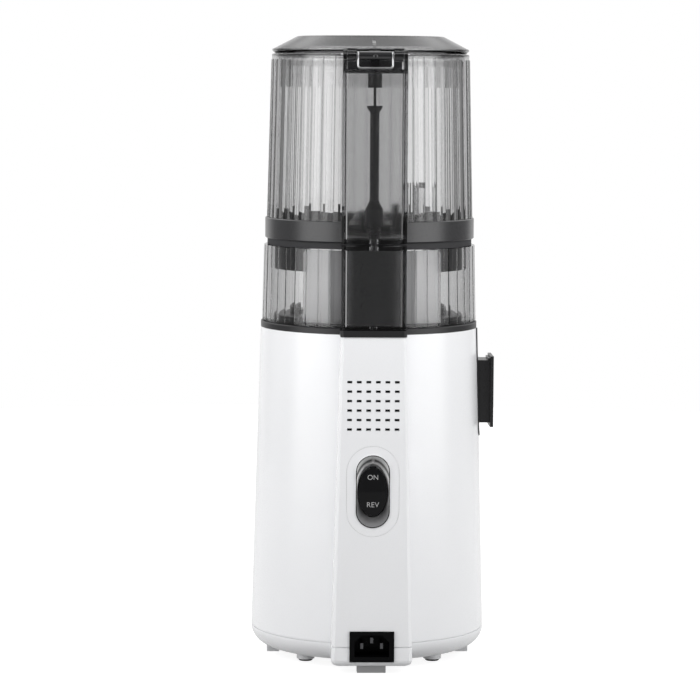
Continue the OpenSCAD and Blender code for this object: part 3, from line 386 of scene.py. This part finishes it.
def bar_mesh(name, outline, z0, z1):
    """An upright bar over an outline of (x, y) points."""
    made = bmesh.new()
    low = [made.verts.new((x, y, z0)) for x, y in outline]
    high = [made.verts.new((x, y, z1)) for x, y in outline]
    n = len(outline)
    for i in range(n):
        k = (i + 1) % n
        made.faces.new((low[i], low[k], high[k], high[i]))
    made.faces.new(low[::-1])
    made.faces.new(high)
    return closed_mesh(name, made)


def faceted_mesh(source, widest, groove):
    """The chamber's wall with each flute turned into a flat facet between thin grooves."""
    mesh = source.copy()
    wall = 0.0024
    # In degrees: one flute, the step between its points, and a groove's bottom to its edge
    pitch, step, lip = 360 / FLUTES, 360 / FLUTES / FLUTE_POINTS, 0.45
    moved = 0
    for v in mesh.vertices:
        x, y, z = v.co
        r = math.hypot(x, y)
        turn = (math.degrees(math.atan2(y, x)) - 90) % 360
        i = round(turn / step)
        in_column = y > 0 and abs(x) < COLUMN_HALF
        if abs(turn - i * step) > 0.02 or r < widest - wall or in_column:
            continue
        k = i % FLUTE_POINTS
        # The flute's own depth at this point, so the crest's radius comes from any of its points
        crest = r / (1 - FLUTE_RISE / widest * (1 - math.sin(math.pi * k / FLUTE_POINTS)))
        if k == 0:
            new_turn, new_r = turn, crest - groove
        else:
            local = {1: lip, 2: 2 * step, 3: 3 * step, 4: pitch - lip}[k]
            new_turn = turn - k * step + local
            flat = math.cos(math.radians(pitch / 2 - lip)) / math.cos(math.radians(local - pitch / 2))
            new_r = crest * flat
        a = math.radians(new_turn + 90)
        v.co = (new_r * math.cos(a), new_r * math.sin(a), z)
        moved += 1
    if moved < FLUTE_POINTS * FLUTES:
        raise RuntimeError("the chamber's facets were not found")
    mesh.update()
    round_off(mesh, 4)
    return mesh


def liner_mesh(outer, bottom, top, half_angle):
    """A curved panel round the rear, with rounded upper corners."""
    thick, corner_drop, corner_share, steps = 0.0007, 0.0025, 0.06, 48
    made = bmesh.new()
    rows = []
    for i in range(steps + 1):
        share = 2 * i / steps - 1
        a = share * half_angle
        corner = max(0.0, (abs(share) - (1 - corner_share)) / corner_share)
        upper = top - corner_drop * (1 - math.sqrt(max(0.0, 1 - corner * corner)))
        section = ((outer - thick, bottom), (outer, bottom), (outer, upper), (outer - thick, upper))
        rows.append([made.verts.new((r * math.sin(a), r * math.cos(a), z)) for r, z in section])
    for row, following in zip(rows, rows[1:]):
        for k in range(4):
            m = (k + 1) % 4
            made.faces.new((row[k], row[m], following[m], following[k]))
    made.faces.new(rows[0])
    made.faces.new(rows[-1][::-1])
    return closed_mesh("chamber_liner", made)


def word_mesh(word, height):
    """A word of capital letters, as thin raised print that lies flat."""
    film = 0.00004
    text = bpy.data.curves.new("word_" + word, "FONT")
    text.body = word
    text.align_x = "CENTER"
    text.align_y = "CENTER"
    text.size = height / 0.72  # capitals stand 0.72 of the text's size
    text.extrude = film
    text.offset = -film
    text.resolution_u = 6
    loose = bpy.data.objects.new("word", text)
    bpy.context.scene.collection.objects.link(loose)
    bpy.context.view_layer.update()
    mesh = bpy.data.meshes.new_from_object(loose.evaluated_get(bpy.context.evaluated_depsgraph_get()))
    bpy.data.objects.remove(loose)
    return mesh


def new_piece(name, mesh, body, material):
    """A piece that moves with a body and has one material."""
    piece = bpy.data.objects.new(name, mesh)
    bpy.context.scene.collection.objects.link(piece)
    mesh.materials.clear()
    mesh.materials.append(material)
    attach(piece, body)
    return piece


# ---------------------------------------------------------------- settings

def colour_setting(label, text, default):
    """A colour that a user can change."""
    return bpy.props.FloatVectorProperty(
        name=label, description=text, subtype="COLOR", size=3, min=0, max=1, default=default)


class JuicerShellSettings(bpy.types.PropertyGroup):
    """Colours and gloss of the opaque mouldings"""
    white: colour_setting("White", "Colour of the moulded housing", (0.86, 0.865, 0.88))
    black: colour_setting("Black", "Colour of the black mouldings", (0.01, 0.01, 0.011))
    satin: colour_setting("Satin grey", "Colour of the ring round the hopper", (0.022, 0.022, 0.0235))
    gloss: bpy.props.FloatProperty(
        name="Housing roughness", description="Roughness of the white housing", subtype="FACTOR",
        min=0.05, max=1, default=0.3)


class JuicerClearSettings(bpy.types.PropertyGroup):
    """Tints and sizes of the smoke plastic and of what stands behind it"""
    tint: colour_setting("Tint", "Colour that the smoke plastic lets through", (0.36, 0.36, 0.37))
    density: bpy.props.FloatProperty(
        name="Density", description="How strongly the hopper's plastic absorbs light, per metre",
        min=0, max=500, default=62)
    screen_density: bpy.props.FloatProperty(
        name="Screen density", description="How strongly the column's screen absorbs light, per metre",
        min=0, max=5000, default=540)
    screen_half: bpy.props.FloatProperty(
        name="Screen half width", description="Half the width of the screen in the column",
        unit="LENGTH", default=0.0195)
    column_wall: bpy.props.FloatProperty(
        name="Column wall", description="Thickness of the column's back wall", unit="LENGTH", default=0.003)
    # The column's dark edges outside this half width are painted shade
    column_edge: bpy.props.FloatProperty(
        name="Column edge", description="Half the clear width between the dark edges of the column",
        unit="LENGTH", default=0.0203)
    lid_density: bpy.props.FloatProperty(
        name="Lid density", description="How strongly the lid's plastic absorbs light, per metre",
        min=0, max=2000, default=62)
    lid_shade: bpy.props.FloatProperty(
        name="Lid shade", description="Light that the lid's dome lets through", subtype="FACTOR",
        min=0, max=1, default=0.17)
    # Height of the band of painted shade at the hopper's rim, under the lid
    painted_rim_band: bpy.props.FloatProperty(
        name="Rim band", description="Height of the darker band at the hopper's rim", unit="LENGTH",
        default=0.0042)
    # The dark lines along the hopper's flute valleys are painted shade
    valley_width: bpy.props.FloatProperty(
        name="Valley width", description="Share of a flute that its dark valley takes on each side",
        subtype="FACTOR", min=0, max=0.5, default=0.035)
    painted_valley_shade: bpy.props.FloatProperty(
        name="Valley shade", description="Light that the valleys between the hopper's flutes let through",
        subtype="FACTOR", min=0, max=1, default=0.3)
    facet_groove: bpy.props.FloatProperty(
        name="Groove", description="Depth of the grooves between the chamber's facets", unit="LENGTH",
        default=0.00035)
    liner_angle: bpy.props.FloatProperty(
        name="Liner", description="Half the angle that the frosted liner covers round the rear",
        unit="ROTATION", subtype="ANGLE", default=math.radians(41.5))
    # Half the width of the painted shade on the liner beside the column
    liner_shade_strip: bpy.props.FloatProperty(
        name="Liner strip", description="Half the width of the liner's shaded part beside the column",
        unit="LENGTH", default=0.031)


class JuicerMarkSettings(bpy.types.PropertyGroup):
    """Sizes and colour of the two words on the rocker"""
    on_height: bpy.props.FloatProperty(
        name="ON height", description="Height of the upper word", unit="LENGTH", default=0.0036)
    reverse_height: bpy.props.FloatProperty(
        name="REV height", description="Height of the lower word", unit="LENGTH", default=0.0038)
    on_rise: bpy.props.FloatProperty(
        name="ON place", description="Height of the upper word's middle over the rocker's middle",
        unit="LENGTH", default=0.01006)
    reverse_drop: bpy.props.FloatProperty(
        name="REV place", description="Depth of the lower word's middle under the rocker's middle",
        unit="LENGTH", default=0.00944)
    ink: colour_setting("Ink", "Colour of the printed words", (0.45, 0.45, 0.45))


class JuicerStageSettings(bpy.types.PropertyGroup):
    """Camera, floor and studio light"""
    distance: bpy.props.FloatProperty(
        name="Camera distance", description="Distance from the aim point", unit="LENGTH", default=2.142)
    azimuth: bpy.props.FloatProperty(
        name="Azimuth", description="Angle round the juicer", unit="ROTATION", subtype="ANGLE",
        default=math.radians(178.2))
    elevation: bpy.props.FloatProperty(
        name="Elevation", description="Angle above the horizon", unit="ROTATION", subtype="ANGLE",
        default=math.radians(5.36))
    roll: bpy.props.FloatProperty(
        name="Roll", description="Roll of the camera", unit="ROTATION", subtype="ANGLE",
        default=math.radians(0.37))
    aim: bpy.props.FloatVectorProperty(
        name="Aim point", description="The point the camera looks at", subtype="XYZ", unit="LENGTH",
        default=(0.0137, 0.0, 0.222))
    lens: bpy.props.FloatProperty(
        name="Lens", description="Focal length in millimetres on a 36 mm sensor", unit="CAMERA",
        default=149.7)
    floor: colour_setting("Floor", "Colour of the floor", (0.25, 0.25, 0.25))
    floor_glow: bpy.props.FloatProperty(
        name="Floor glow", description="How much brighter the floor looks, so that it stays pale",
        default=0.88)
    floor_bounce: bpy.props.FloatProperty(
        name="Floor bounce", description="Light that the floor throws back on the juicer", default=0.05)
    floor_mirror: bpy.props.FloatProperty(
        name="Floor in metal", description="Extra light of the floor in mirror-like surfaces", default=0.35)
    box_light: bpy.props.FloatProperty(
        name="Soft boxes", description="Brightness of the two soft boxes beside the rear", default=2.3)
    box_turn: bpy.props.FloatProperty(
        name="Box place", description="Angle from the rear to the middle of each soft box",
        unit="ROTATION", subtype="ANGLE", default=math.radians(62))
    box_half: bpy.props.FloatProperty(
        name="Box half width", description="Half the angle that a soft box takes", unit="ROTATION",
        subtype="ANGLE", default=math.radians(22))
    box_soft: bpy.props.FloatProperty(
        name="Box edge", description="Angle over which a soft box fades at its edges", unit="ROTATION",
        subtype="ANGLE", default=math.radians(8))
    gap_light: bpy.props.FloatProperty(
        name="Gap", description="Brightness between the soft boxes", default=0.15)
    side_light: bpy.props.FloatProperty(
        name="Sides", description="Brightness of the studio at the sides", default=0.25)
    back_light: bpy.props.FloatProperty(
        name="Backdrop", description="Brightness of the paper behind the juicer", default=0.8)
    top_light: bpy.props.FloatProperty(
        name="Overhead", description="Brightness of the light from above", default=0.4)
    lid_light: bpy.props.FloatProperty(
        name="High panel", description="Brightness of the panel high in front of the juicer", default=1.0)
    key_power: bpy.props.FloatProperty(
        name="Lamps", description="Power of the strongest lamp", unit="POWER", default=5)
    rear_power: bpy.props.FloatProperty(
        name="Rear lamp", description="Power of the small lamp over the rear", unit="POWER", default=0.6)


# ---------------------------------------------------------------- stage

def lay_floor(scene, s):
    """A pale round floor. It looks bright, and throws little light back on the juicer."""
    mesh = bpy.data.meshes.new("floor")
    made = bmesh.new()
    bmesh.ops.create_circle(made, cap_ends=True, segments=96, radius=1.6)
    made.to_mesh(mesh)
    made.free()
    floor = bpy.data.objects.new("floor", mesh)
    scene.collection.objects.link(floor)
    paper, tree, out = new_material("floor_paper")
    shader = tree.nodes.new("ShaderNodeBsdfPrincipled")
    shader.inputs["Base Color"].default_value = (*s.floor, 1)
    shader.inputs["Roughness"].default_value = 0.7
    shader.inputs["Emission Color"].default_value = (1, 1, 1, 1)
    seen = tree.nodes.new("ShaderNodeLightPath")
    glow = mapped(tree, seen.outputs["Is Camera Ray"], 0.0, 1.0, s.floor_bounce, s.floor_glow)
    mirrored = combine(tree, "MULTIPLY", seen.outputs["Is Glossy Ray"], s.floor_mirror)
    tree.links.new(combine(tree, "ADD", mirrored, glow), shader.inputs["Emission Strength"])
    tree.links.new(shader.outputs[0], out.inputs["Surface"])
    mesh.materials.append(paper)


def light_studio(scene, s):
    """The studio that the juicer mirrors: two tall soft boxes beside its rear with a dark gap
    between them, paper behind it, a light overhead and a panel high in front."""
    world = bpy.data.worlds.new("studio")
    scene.world = world
    world.use_nodes = True
    tree = world.node_tree
    tree.nodes.clear()
    way = axes(tree, tree.nodes.new("ShaderNodeTexCoord").outputs["Generated"])

    def fade(value, low, high, start, end):
        return mapped(tree, value, low, high, start, end, curve="SMOOTHSTEP")

    # Heights in the studio are sines of the angle over the horizon, and turns are degrees round
    # the juicer, from 0 straight behind its rear to 180 in front of it
    radians = combine(tree, "ABSOLUTE", combine(tree, "ARCTAN2", way["X"], way["Y"]))
    turn = combine(tree, "MULTIPLY", radians, 180 / math.pi)
    middle, half, soft = (math.degrees(angle) for angle in (s.box_turn, s.box_half, s.box_soft))
    near, far = middle - half, middle + half
    box = both(tree, fade(turn, near - soft, near + soft, 0.0, 1.0),
               fade(turn, far - soft, far + soft, 1.0, 0.0))
    box = both(tree, box, fade(way["Z"], 0.5, 0.75, s.box_light, 0.0))
    sides = fade(turn, far, far + 30, s.gap_light, s.side_light)
    paper = fade(turn, 130, 150, 0.0, s.back_light - s.side_light)
    ring = combine(tree, "ADD", box, combine(tree, "ADD", sides, paper))
    level = tree.nodes.new("ShaderNodeMix")
    tree.links.new(fade(way["Z"], 0.45, 0.75, 0.0, 1.0), level.inputs["Factor"])
    tree.links.new(ring, level.inputs["A"])
    level.inputs["B"].default_value = s.top_light
    # The lid's slope mirrors this panel to the rear
    panel = both(tree, fade(way["Z"], 0.36, 0.62, 0.0, s.lid_light), fade(turn, 95, 135, 0.0, 1.0))

    studio = tree.nodes.new("ShaderNodeBackground")
    studio.inputs["Color"].default_value = (1, 1, 1, 1)
    tree.links.new(combine(tree, "ADD", panel, level.outputs["Result"]), studio.inputs["Strength"])
    plain = tree.nodes.new("ShaderNodeBackground")
    plain.inputs["Color"].default_value = (1, 1, 1, 1)
    plain.inputs["Strength"].default_value = 1.0
    path = tree.nodes.new("ShaderNodeLightPath")
    mix = tree.nodes.new("ShaderNodeMixShader")
    tree.links.new(path.outputs["Is Camera Ray"], mix.inputs["Fac"])
    tree.links.new(studio.outputs[0], mix.inputs[1])
    tree.links.new(plain.outputs[0], mix.inputs[2])
    end = tree.nodes.new("ShaderNodeOutputWorld")
    tree.links.new(mix.outputs[0], end.inputs["Surface"])


def hang_lamp(scene, name, place, aim, size, power):
    """A soft rectangular lamp that mirrors and clear plastic don't show."""
    data = bpy.data.lights.new(name, "AREA")
    data.shape = "RECTANGLE"
    data.size, data.size_y = size
    data.energy = power
    lamp = bpy.data.objects.new(name, data)
    lamp.location = place
    lamp.rotation_euler = (Vector(aim) - Vector(place)).to_track_quat("-Z", "Y").to_euler()
    lamp.visible_glossy = False
    lamp.visible_transmission = False
    scene.collection.objects.link(lamp)


def set_camera(scene, s):
    """The camera, placed by its angles and distance from the aim point."""
    data = bpy.data.cameras.new("camera")
    data.lens = s.lens
    data.sensor_width = 36
    data.clip_start = 0.05
    data.clip_end = 60
    camera = bpy.data.objects.new("camera", data)
    a, e = s.azimuth, s.elevation
    back = Vector((math.sin(a) * math.cos(e), -math.cos(a) * math.cos(e), math.sin(e)))
    camera.location = Vector(s.aim) + back * s.distance
    camera.rotation_mode = "QUATERNION"
    level = (-back).to_track_quat("-Z", "Y")
    camera.rotation_quaternion = level @ Matrix.Rotation(s.roll, 3, "Z").to_quaternion()
    scene.collection.objects.link(camera)
    scene.camera = camera


# ---------------------------------------------------------------- operators

class JUICER_OT_stage(bpy.types.Operator):
    """Pale floor and backdrop, soft lamps and the camera"""
    bl_idname = "juicer.stage"
    bl_label = "Stage"

    def execute(self, context):
        scene = context.scene
        s = scene.juicer_stage
        scene.view_settings.view_transform = "Standard"
        scene.view_settings.look = "None"
        lay_floor(scene, s)
        light_studio(scene, s)
        reach = 0.9
        for name, angle, share in (("rear_left", 110, 1.0), ("rear_right", 250, 0.95),
                                   ("front_left", 35, 0.8), ("front_right", 325, 0.8)):
            a = math.radians(angle)
            hang_lamp(scene, name, (reach * math.sin(a), -reach * math.cos(a), reach), (0, 0, 0.25),
                      (0.5, 0.6), s.key_power * share)
        hang_lamp(scene, "rear_top", (0, 0.35, 0.55), (0, 0.09, 0.24), (0.16, 0.16), s.rear_power)
        set_camera(scene, s)
        return {"FINISHED"}


class JUICER_OT_housing(bpy.types.Operator):
    """White moulded housing, base cover and switch surround, with the black trims"""
    bl_idname = "juicer.housing"
    bl_label = "Housing"

    def execute(self, context):
        s = context.scene.juicer_shell
        white = solid_finish("white_moulding", tuple(s.white), s.gloss, grain=2600, depth=0.000012,
                             coat=0.8, coat_rough=0.2, variation=0.012, rough_spread=0.04)
        paint(white, "housing", "base_cover", "switch_surround")
        black = solid_finish("black_moulding", tuple(s.black), 0.36, grain=2200, variation=0.08)
        paint(black, "deck_cup", "chute_trim", "spout_trim", "vent_baffle", "switch_module",
              "interlock_switch")
        satin = solid_finish("satin_moulding", tuple(s.satin), 0.3, grain=2600, depth=0.00001,
                             coat=0.35, coat_rough=0.25, variation=0.05)
        paint(satin, "hopper_ring")
        grey = solid_finish("grey_foot_moulding", (0.44, 0.44, 0.445), 0.55, grain=1800, variation=0.06)
        paint(grey, "rear_foot")
        rubber = solid_finish("rubber", (0.03, 0.03, 0.032), 0.75, grain=1400, depth=0.00004,
                              variation=0.12)
        paint(rubber, "rubber_feet", "chamber_seal", "hopper_gasket", "cap_seal", "shaft_seal",
              "interlock_button")
        smooth("housing", "base_cover", "switch_surround", "deck_cup", "chute_trim", "spout_trim",
               "hopper_ring", "rubber_feet")
        return {"FINISHED"}


class JUICER_OT_clear_parts(bpy.types.Operator):
    """Smoke plastic hopper, chamber, spout, blade and lid"""
    bl_idname = "juicer.clear_parts"
    bl_label = "Clear parts"

    def execute(self, context):
        s = context.scene.juicer_clear
        tint = tuple(s.tint)
        # Grey of the painted shade on the columns' edges and cap, and under the hopper's lid
        painted_edge_shade = 0.02
        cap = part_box("plunger_bush")[1].z
        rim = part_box("hopper")[1].z
        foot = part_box("hopper_ring")[1].z + 0.001
        hopper = smoke_finish("smoke_plastic", s.density, tint)
        # Painted shade on the hopper column's edges and cap, and in the band under the lid
        shade_zone(hopper, painted_edge_and_rim_shade(s.column_edge, cap, rim - s.painted_rim_band), painted_edge_shade)
        # Painted shade along the hopper's flute valleys
        shade_zone(hopper, painted_valley_lines(foot, s.valley_width), s.painted_valley_shade)
        paint(hopper, "hopper")
        chamber = smoke_finish("smoke_plastic_chamber", s.density * 1.2, tint, light_share=0.92)
        # Painted shade on the chamber column's edges
        shade_zone(chamber, painted_edge_and_rim_shade(s.column_edge), painted_edge_shade)
        paint(chamber, "chamber_bowl", "bowl_cup", "juice_spout")
        blade = smoke_finish("smoke_plastic_blade", s.density * 2, tint, rough=0.04)
        paint(blade, "cutting_blade")
        lid = smoke_finish("smoke_plastic_lid", s.lid_density, tint, rough=0.05)
        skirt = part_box("lid_gasket")[1].y + 0.0002
        shade_zone(lid, lid_top(rim + 0.0008, skirt), s.lid_shade)
        paint(lid, "lid")
        silicone = smoke_finish("clear_silicone", s.density, tint, rough=0.25)
        paint(silicone, "lid_gasket")
        smooth("juice_spout", "bowl_cup", "cutting_blade", "lid")
        smooth("hopper", "chamber_bowl", angle=14)
        return {"FINISHED"}


class JUICER_OT_chamber_shell(bpy.types.Operator):
    """The chamber's clear wall with flat facets, and the frosted liner behind its rear half"""
    bl_idname = "juicer.chamber_shell"
    bl_label = "Chamber shell"

    def execute(self, context):
        s = context.scene.juicer_clear
        source = NODES["chamber_bowl"].data
        widest = max(math.hypot(v.co.x, v.co.y) for v in source.vertices if v.co.y < 0)
        shell = new_piece("chamber_shell", faceted_mesh(source, widest, s.facet_groove), "chamber",
                          source.materials[0])
        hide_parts("chamber_bowl")
        # The liner stands 5.7 mm inside the widest point, clear of the bowl's floor and rim
        low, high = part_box("chamber_bowl")
        liner = liner_mesh(widest - 0.0057, low.z + 0.0027, high.z - 0.0043, s.liner_angle)
        milky = solid_finish("frosted_liner", (0.97, 0.97, 0.975), 0.5, grain=1800, depth=0.00001,
                             variation=0.02)
        principled(milky).inputs["Transmission Weight"].default_value = 0.85
        # Painted shade on the liner beside the column
        shade_zone(milky, liner_shade_strip(s.liner_shade_strip), 0.38)
        new_piece("chamber_liner", liner, "chamber", milky)
        return {"FINISHED"}


class JUICER_OT_juicing_parts(bpy.types.Operator):
    """Auger, strainer, hopper floor, pulp chute and juice cap in black and grey plastic"""
    bl_idname = "juicer.juicing_parts"
    bl_label = "Juicing parts"

    def execute(self, context):
        dark = solid_finish("auger_moulding", (0.012, 0.012, 0.013), 0.3, depth=0.00003, variation=0.1)
        paint(dark, "auger", "strainer", "hopper_floor", "hopper_spigot", "pulp_chute", "juice_cap")
        rod = solid_finish("rod_moulding", (0.018, 0.018, 0.02), 0.38, grain=1800, variation=0.1)
        paint(rod, "push_rod", "plunger_bush", "lower_push_pin")
        glossy = solid_finish("sleeve_moulding", (0.008, 0.008, 0.009), 0.14, grain=2200, depth=0.000004,
                              coat=0.5, coat_rough=0.06, variation=0.08)
        paint(glossy, "hinge_sleeve")
        nylon = solid_finish("nylon", (0.72, 0.69, 0.6), 0.42)
        paint(nylon, "auger_bush", "cutter_bush", "idler_gear", "output_gear")
        smooth("auger", "strainer", "hopper_floor", "hopper_spigot", "pulp_chute", "juice_cap",
               "push_rod", "plunger_bush", "hinge_sleeve", "lower_push_pin")
        return {"FINISHED"}


class JUICER_OT_metal_parts(bpy.types.Operator):
    """Pins, wires, shafts, motor and gearbox metal, windings and board"""
    bl_idname = "juicer.metal_parts"
    bl_label = "Metal parts"

    def execute(self, context):
        steel = solid_finish("pin_steel", (0.62, 0.62, 0.63), 0.22, grain=900, metallic=1.0)
        paint(steel, "hinge_pin", "cap_pin", "base_screws", "gearbox_screws")
        wire = solid_finish("clip_wire", (0.85, 0.85, 0.86), 0.34, grain=1200, metallic=1.0,
                            variation=0.02)
        paint(wire, "hinge_clip")
        spring = solid_finish("blackened_spring", (0.05, 0.05, 0.052), 0.4, grain=1200, metallic=1.0,
                              variation=0.1)
        paint(spring, "rod_spring")
        shaft = solid_finish("shaft_steel", (0.55, 0.55, 0.56), 0.28, grain=900, metallic=1.0,
                             stretch=(1, 1, 12))
        paint(shaft, "drive_shaft", "idler_axle", "motor_pinion", "output_bearing", "rotor")
        zinc = solid_finish("cast_zinc", (0.42, 0.42, 0.43), 0.45, grain=700, depth=0.00005,
                            metallic=1.0, variation=0.06)
        paint(zinc, "motor_can", "motor_end_cap", "gearbox_case", "gearbox_cover")
        copper = solid_finish("winding_copper", (0.6, 0.28, 0.13), 0.3, grain=2600, metallic=1.0,
                              variation=0.12, stretch=(1, 1, 0.1))
        paint(copper, "stator")
        black = solid_finish("fan_moulding", (0.025, 0.025, 0.027), 0.45)
        paint(black, "cooling_fan")
        board = solid_finish("board_laminate", (0.02, 0.12, 0.05), 0.35, grain=500, variation=0.15)
        paint(board, "control_board")
        smooth("hinge_pin", "hinge_clip", "rod_spring", "cap_pin", "drive_shaft", "rotor")
        return {"FINISHED"}


class JUICER_OT_column_inserts(bpy.types.Operator):
    """Frosted screen and hinge shield on the hopper's column, black guide in the chamber's column"""
    bl_idname = "juicer.column_inserts"
    bl_label = "Column inserts"

    def execute(self, context):
        s = context.scene.juicer_clear
        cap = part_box("plunger_bush")[1].z
        # The screen is 0.6 mm thick and stands 0.3 mm inside the back wall of the hopper's column
        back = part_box("hopper")[1].y - s.column_wall
        half, rear, front = s.screen_half, back - 0.0003, back - 0.0009
        screen = bar_mesh("column_screen", [(-half, front), (half, front), (half, rear), (-half, rear)],
                          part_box("hopper_ring")[1].z - 0.012, cap - 0.0004)
        frosted = smoke_finish("frosted_screen", s.screen_density, tuple(s.tint), rough=0.11)
        new_piece("column_screen", screen, "hopper", frosted)
        # The guide that the pin slides behind is 5.2 mm deep, and its rear face is gently bowed
        low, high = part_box("chamber_bowl")
        back = high.y - s.column_wall
        bow = [1 - i / 12 for i in range(13)]
        outline = [(-half, back - 0.0052)]
        outline += [(-half * out, back - 0.0004 - 0.0032 * out ** 3) for out in bow]
        outline += [(-x, y) for x, y in reversed(outline[:-1])]
        guide = bar_mesh("pin_guide", outline, low.z + 0.0032, high.z - 0.0031)
        black = solid_finish("guide_moulding", (0.02, 0.02, 0.021), 0.3, grain=1800, variation=0.15)
        new_piece("pin_guide", guide, "chamber", black)
        # The dark wall of the hinge's well, on the cap of the hopper's column between its ears
        sleeve = (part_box("hinge_sleeve")[0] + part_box("hinge_sleeve")[1]) / 2
        half, middle, thick = s.screen_half - 0.0002, sleeve.y - 0.0135, 0.001
        shield = bar_mesh("hinge_shield", [
            (-half, middle), (-half + thick, middle - thick), (half - thick, middle - thick),
            (half, middle), (half, middle + thick), (-half, middle + thick)],
            cap + s.column_wall, sleeve.z - 0.0004)
        new_piece("hinge_shield", shield, "hopper", black)
        return {"FINISHED"}


class JUICER_OT_switch(bpy.types.Operator):
    """Cup with painted reflection bands and painted shade, black rocker and its two printed words"""
    bl_idname = "juicer.switch"
    bl_label = "Switch"

    def execute(self, context):
        s = context.scene.juicer_marks
        low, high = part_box("switch_cup")
        middle = (low.z + high.z) / 2
        metallic = 0.05
        cup = solid_finish("cup_with_painted_reflection", (0.9, 0.9, 0.91), 0.3, grain=1600, metallic=metallic,
                           variation=0.02, rough_spread=0.03, spec=0.2)
        # The cup's colour is a painted reflection of bands round the rocker
        painted_dish_reflection(cup, middle, 0.95)
        shade_zone(cup, cup_foot(middle), 0.2)
        # Painted shadow: the rim turns black and loses its metal, as the gap round the cup shows it
        shade_zone(cup, cup_rim_shadow(high.y), 0.003)
        unplate(cup, cup_rim_shadow(high.y), metallic)
        paint(cup, "switch_cup")
        rocker = solid_finish("rocker_moulding", (0.003, 0.003, 0.0035), 0.4, grain=2200, depth=0.000006,
                              variation=0.1, spec=0.2)
        paint(rocker, "switch_rocker")
        smooth("switch_cup", "switch_rocker")
        ink = solid_finish("printed_ink", tuple(s.ink), 0.5, variation=0.02)
        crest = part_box("switch_rocker")[1].y + 0.00003
        for word, height, rise in (("ON", s.on_height, s.on_rise),
                                   ("REV", s.reverse_height, -s.reverse_drop)):
            mesh = word_mesh(word, height)
            # Stood up to face the rear, and then laid on its half of the rocker
            upright = Matrix.Rotation(math.pi, 4, "Z") @ Matrix.Rotation(math.pi / 2, 4, "X")
            tilt = Matrix.Rotation(math.copysign(ROCKER_SLOPE, rise), 4, "X")
            face = crest - abs(rise) * math.tan(ROCKER_SLOPE)
            mesh.transform(Matrix.Translation((0, face, middle + rise)) @ tilt @ upright)
            new_piece("word_" + word, mesh, "rocker", ink)
        return {"FINISHED"}


class JUICER_OT_inlet(bpy.types.Operator):
    """Mains inlet and its blades"""
    bl_idname = "juicer.inlet"
    bl_label = "Mains inlet"

    def execute(self, context):
        black = solid_finish("inlet_moulding", (0.0015, 0.0015, 0.0018), 0.4, grain=1800, variation=0.1,
                             spec=0.08)
        paint(black, "power_inlet")
        blade = solid_finish("inlet_blades", (0.1, 0.1, 0.105), 0.3, grain=900, metallic=1.0,
                             variation=0.05)
        paint(blade, "inlet_pins")
        return {"FINISHED"}


class JUICER_PT_panel(bpy.types.Panel):
    """Lists the operators and the settings in the sidebar"""
    bl_idname = "JUICER_PT_panel"
    bl_label = "Cold press juicer"
    bl_space_type = "VIEW_3D"
    bl_region_type = "UI"
    bl_category = "Juicer"

    def draw(self, context):
        column = self.layout.column()
        for operator in OPERATORS:
            column.operator(operator.bl_idname)
        for name in SETTINGS:
            box = self.layout.box()
            group = getattr(context.scene, name)
            for key in group.__annotations__:
                box.prop(group, key)


OPERATORS = (
    JUICER_OT_stage, JUICER_OT_housing, JUICER_OT_clear_parts, JUICER_OT_chamber_shell,
    JUICER_OT_juicing_parts, JUICER_OT_metal_parts, JUICER_OT_column_inserts, JUICER_OT_switch,
    JUICER_OT_inlet,
)
SETTINGS = {
    "juicer_shell": JuicerShellSettings,
    "juicer_clear": JuicerClearSettings,
    "juicer_marks": JuicerMarkSettings,
    "juicer_stage": JuicerStageSettings,
}


def register():
    for cls in (*SETTINGS.values(), *OPERATORS, JUICER_PT_panel):
        bpy.utils.register_class(cls)
    for name, cls in SETTINGS.items():
        setattr(bpy.types.Scene, name, bpy.props.PointerProperty(type=cls))


def unregister():
    for name in SETTINGS:
        delattr(bpy.types.Scene, name)
    for cls in reversed((*SETTINGS.values(), *OPERATORS, JUICER_PT_panel)):
        bpy.utils.unregister_class(cls)


def main():
    register()
    bpy.ops.juicer.stage()
    bpy.ops.juicer.housing()
    bpy.ops.juicer.clear_parts()
    bpy.ops.juicer.chamber_shell()
    bpy.ops.juicer.juicing_parts()
    bpy.ops.juicer.metal_parts()
    bpy.ops.juicer.column_inserts()
    bpy.ops.juicer.switch()
    bpy.ops.juicer.inlet()


if __name__ == "__main__":
    main()
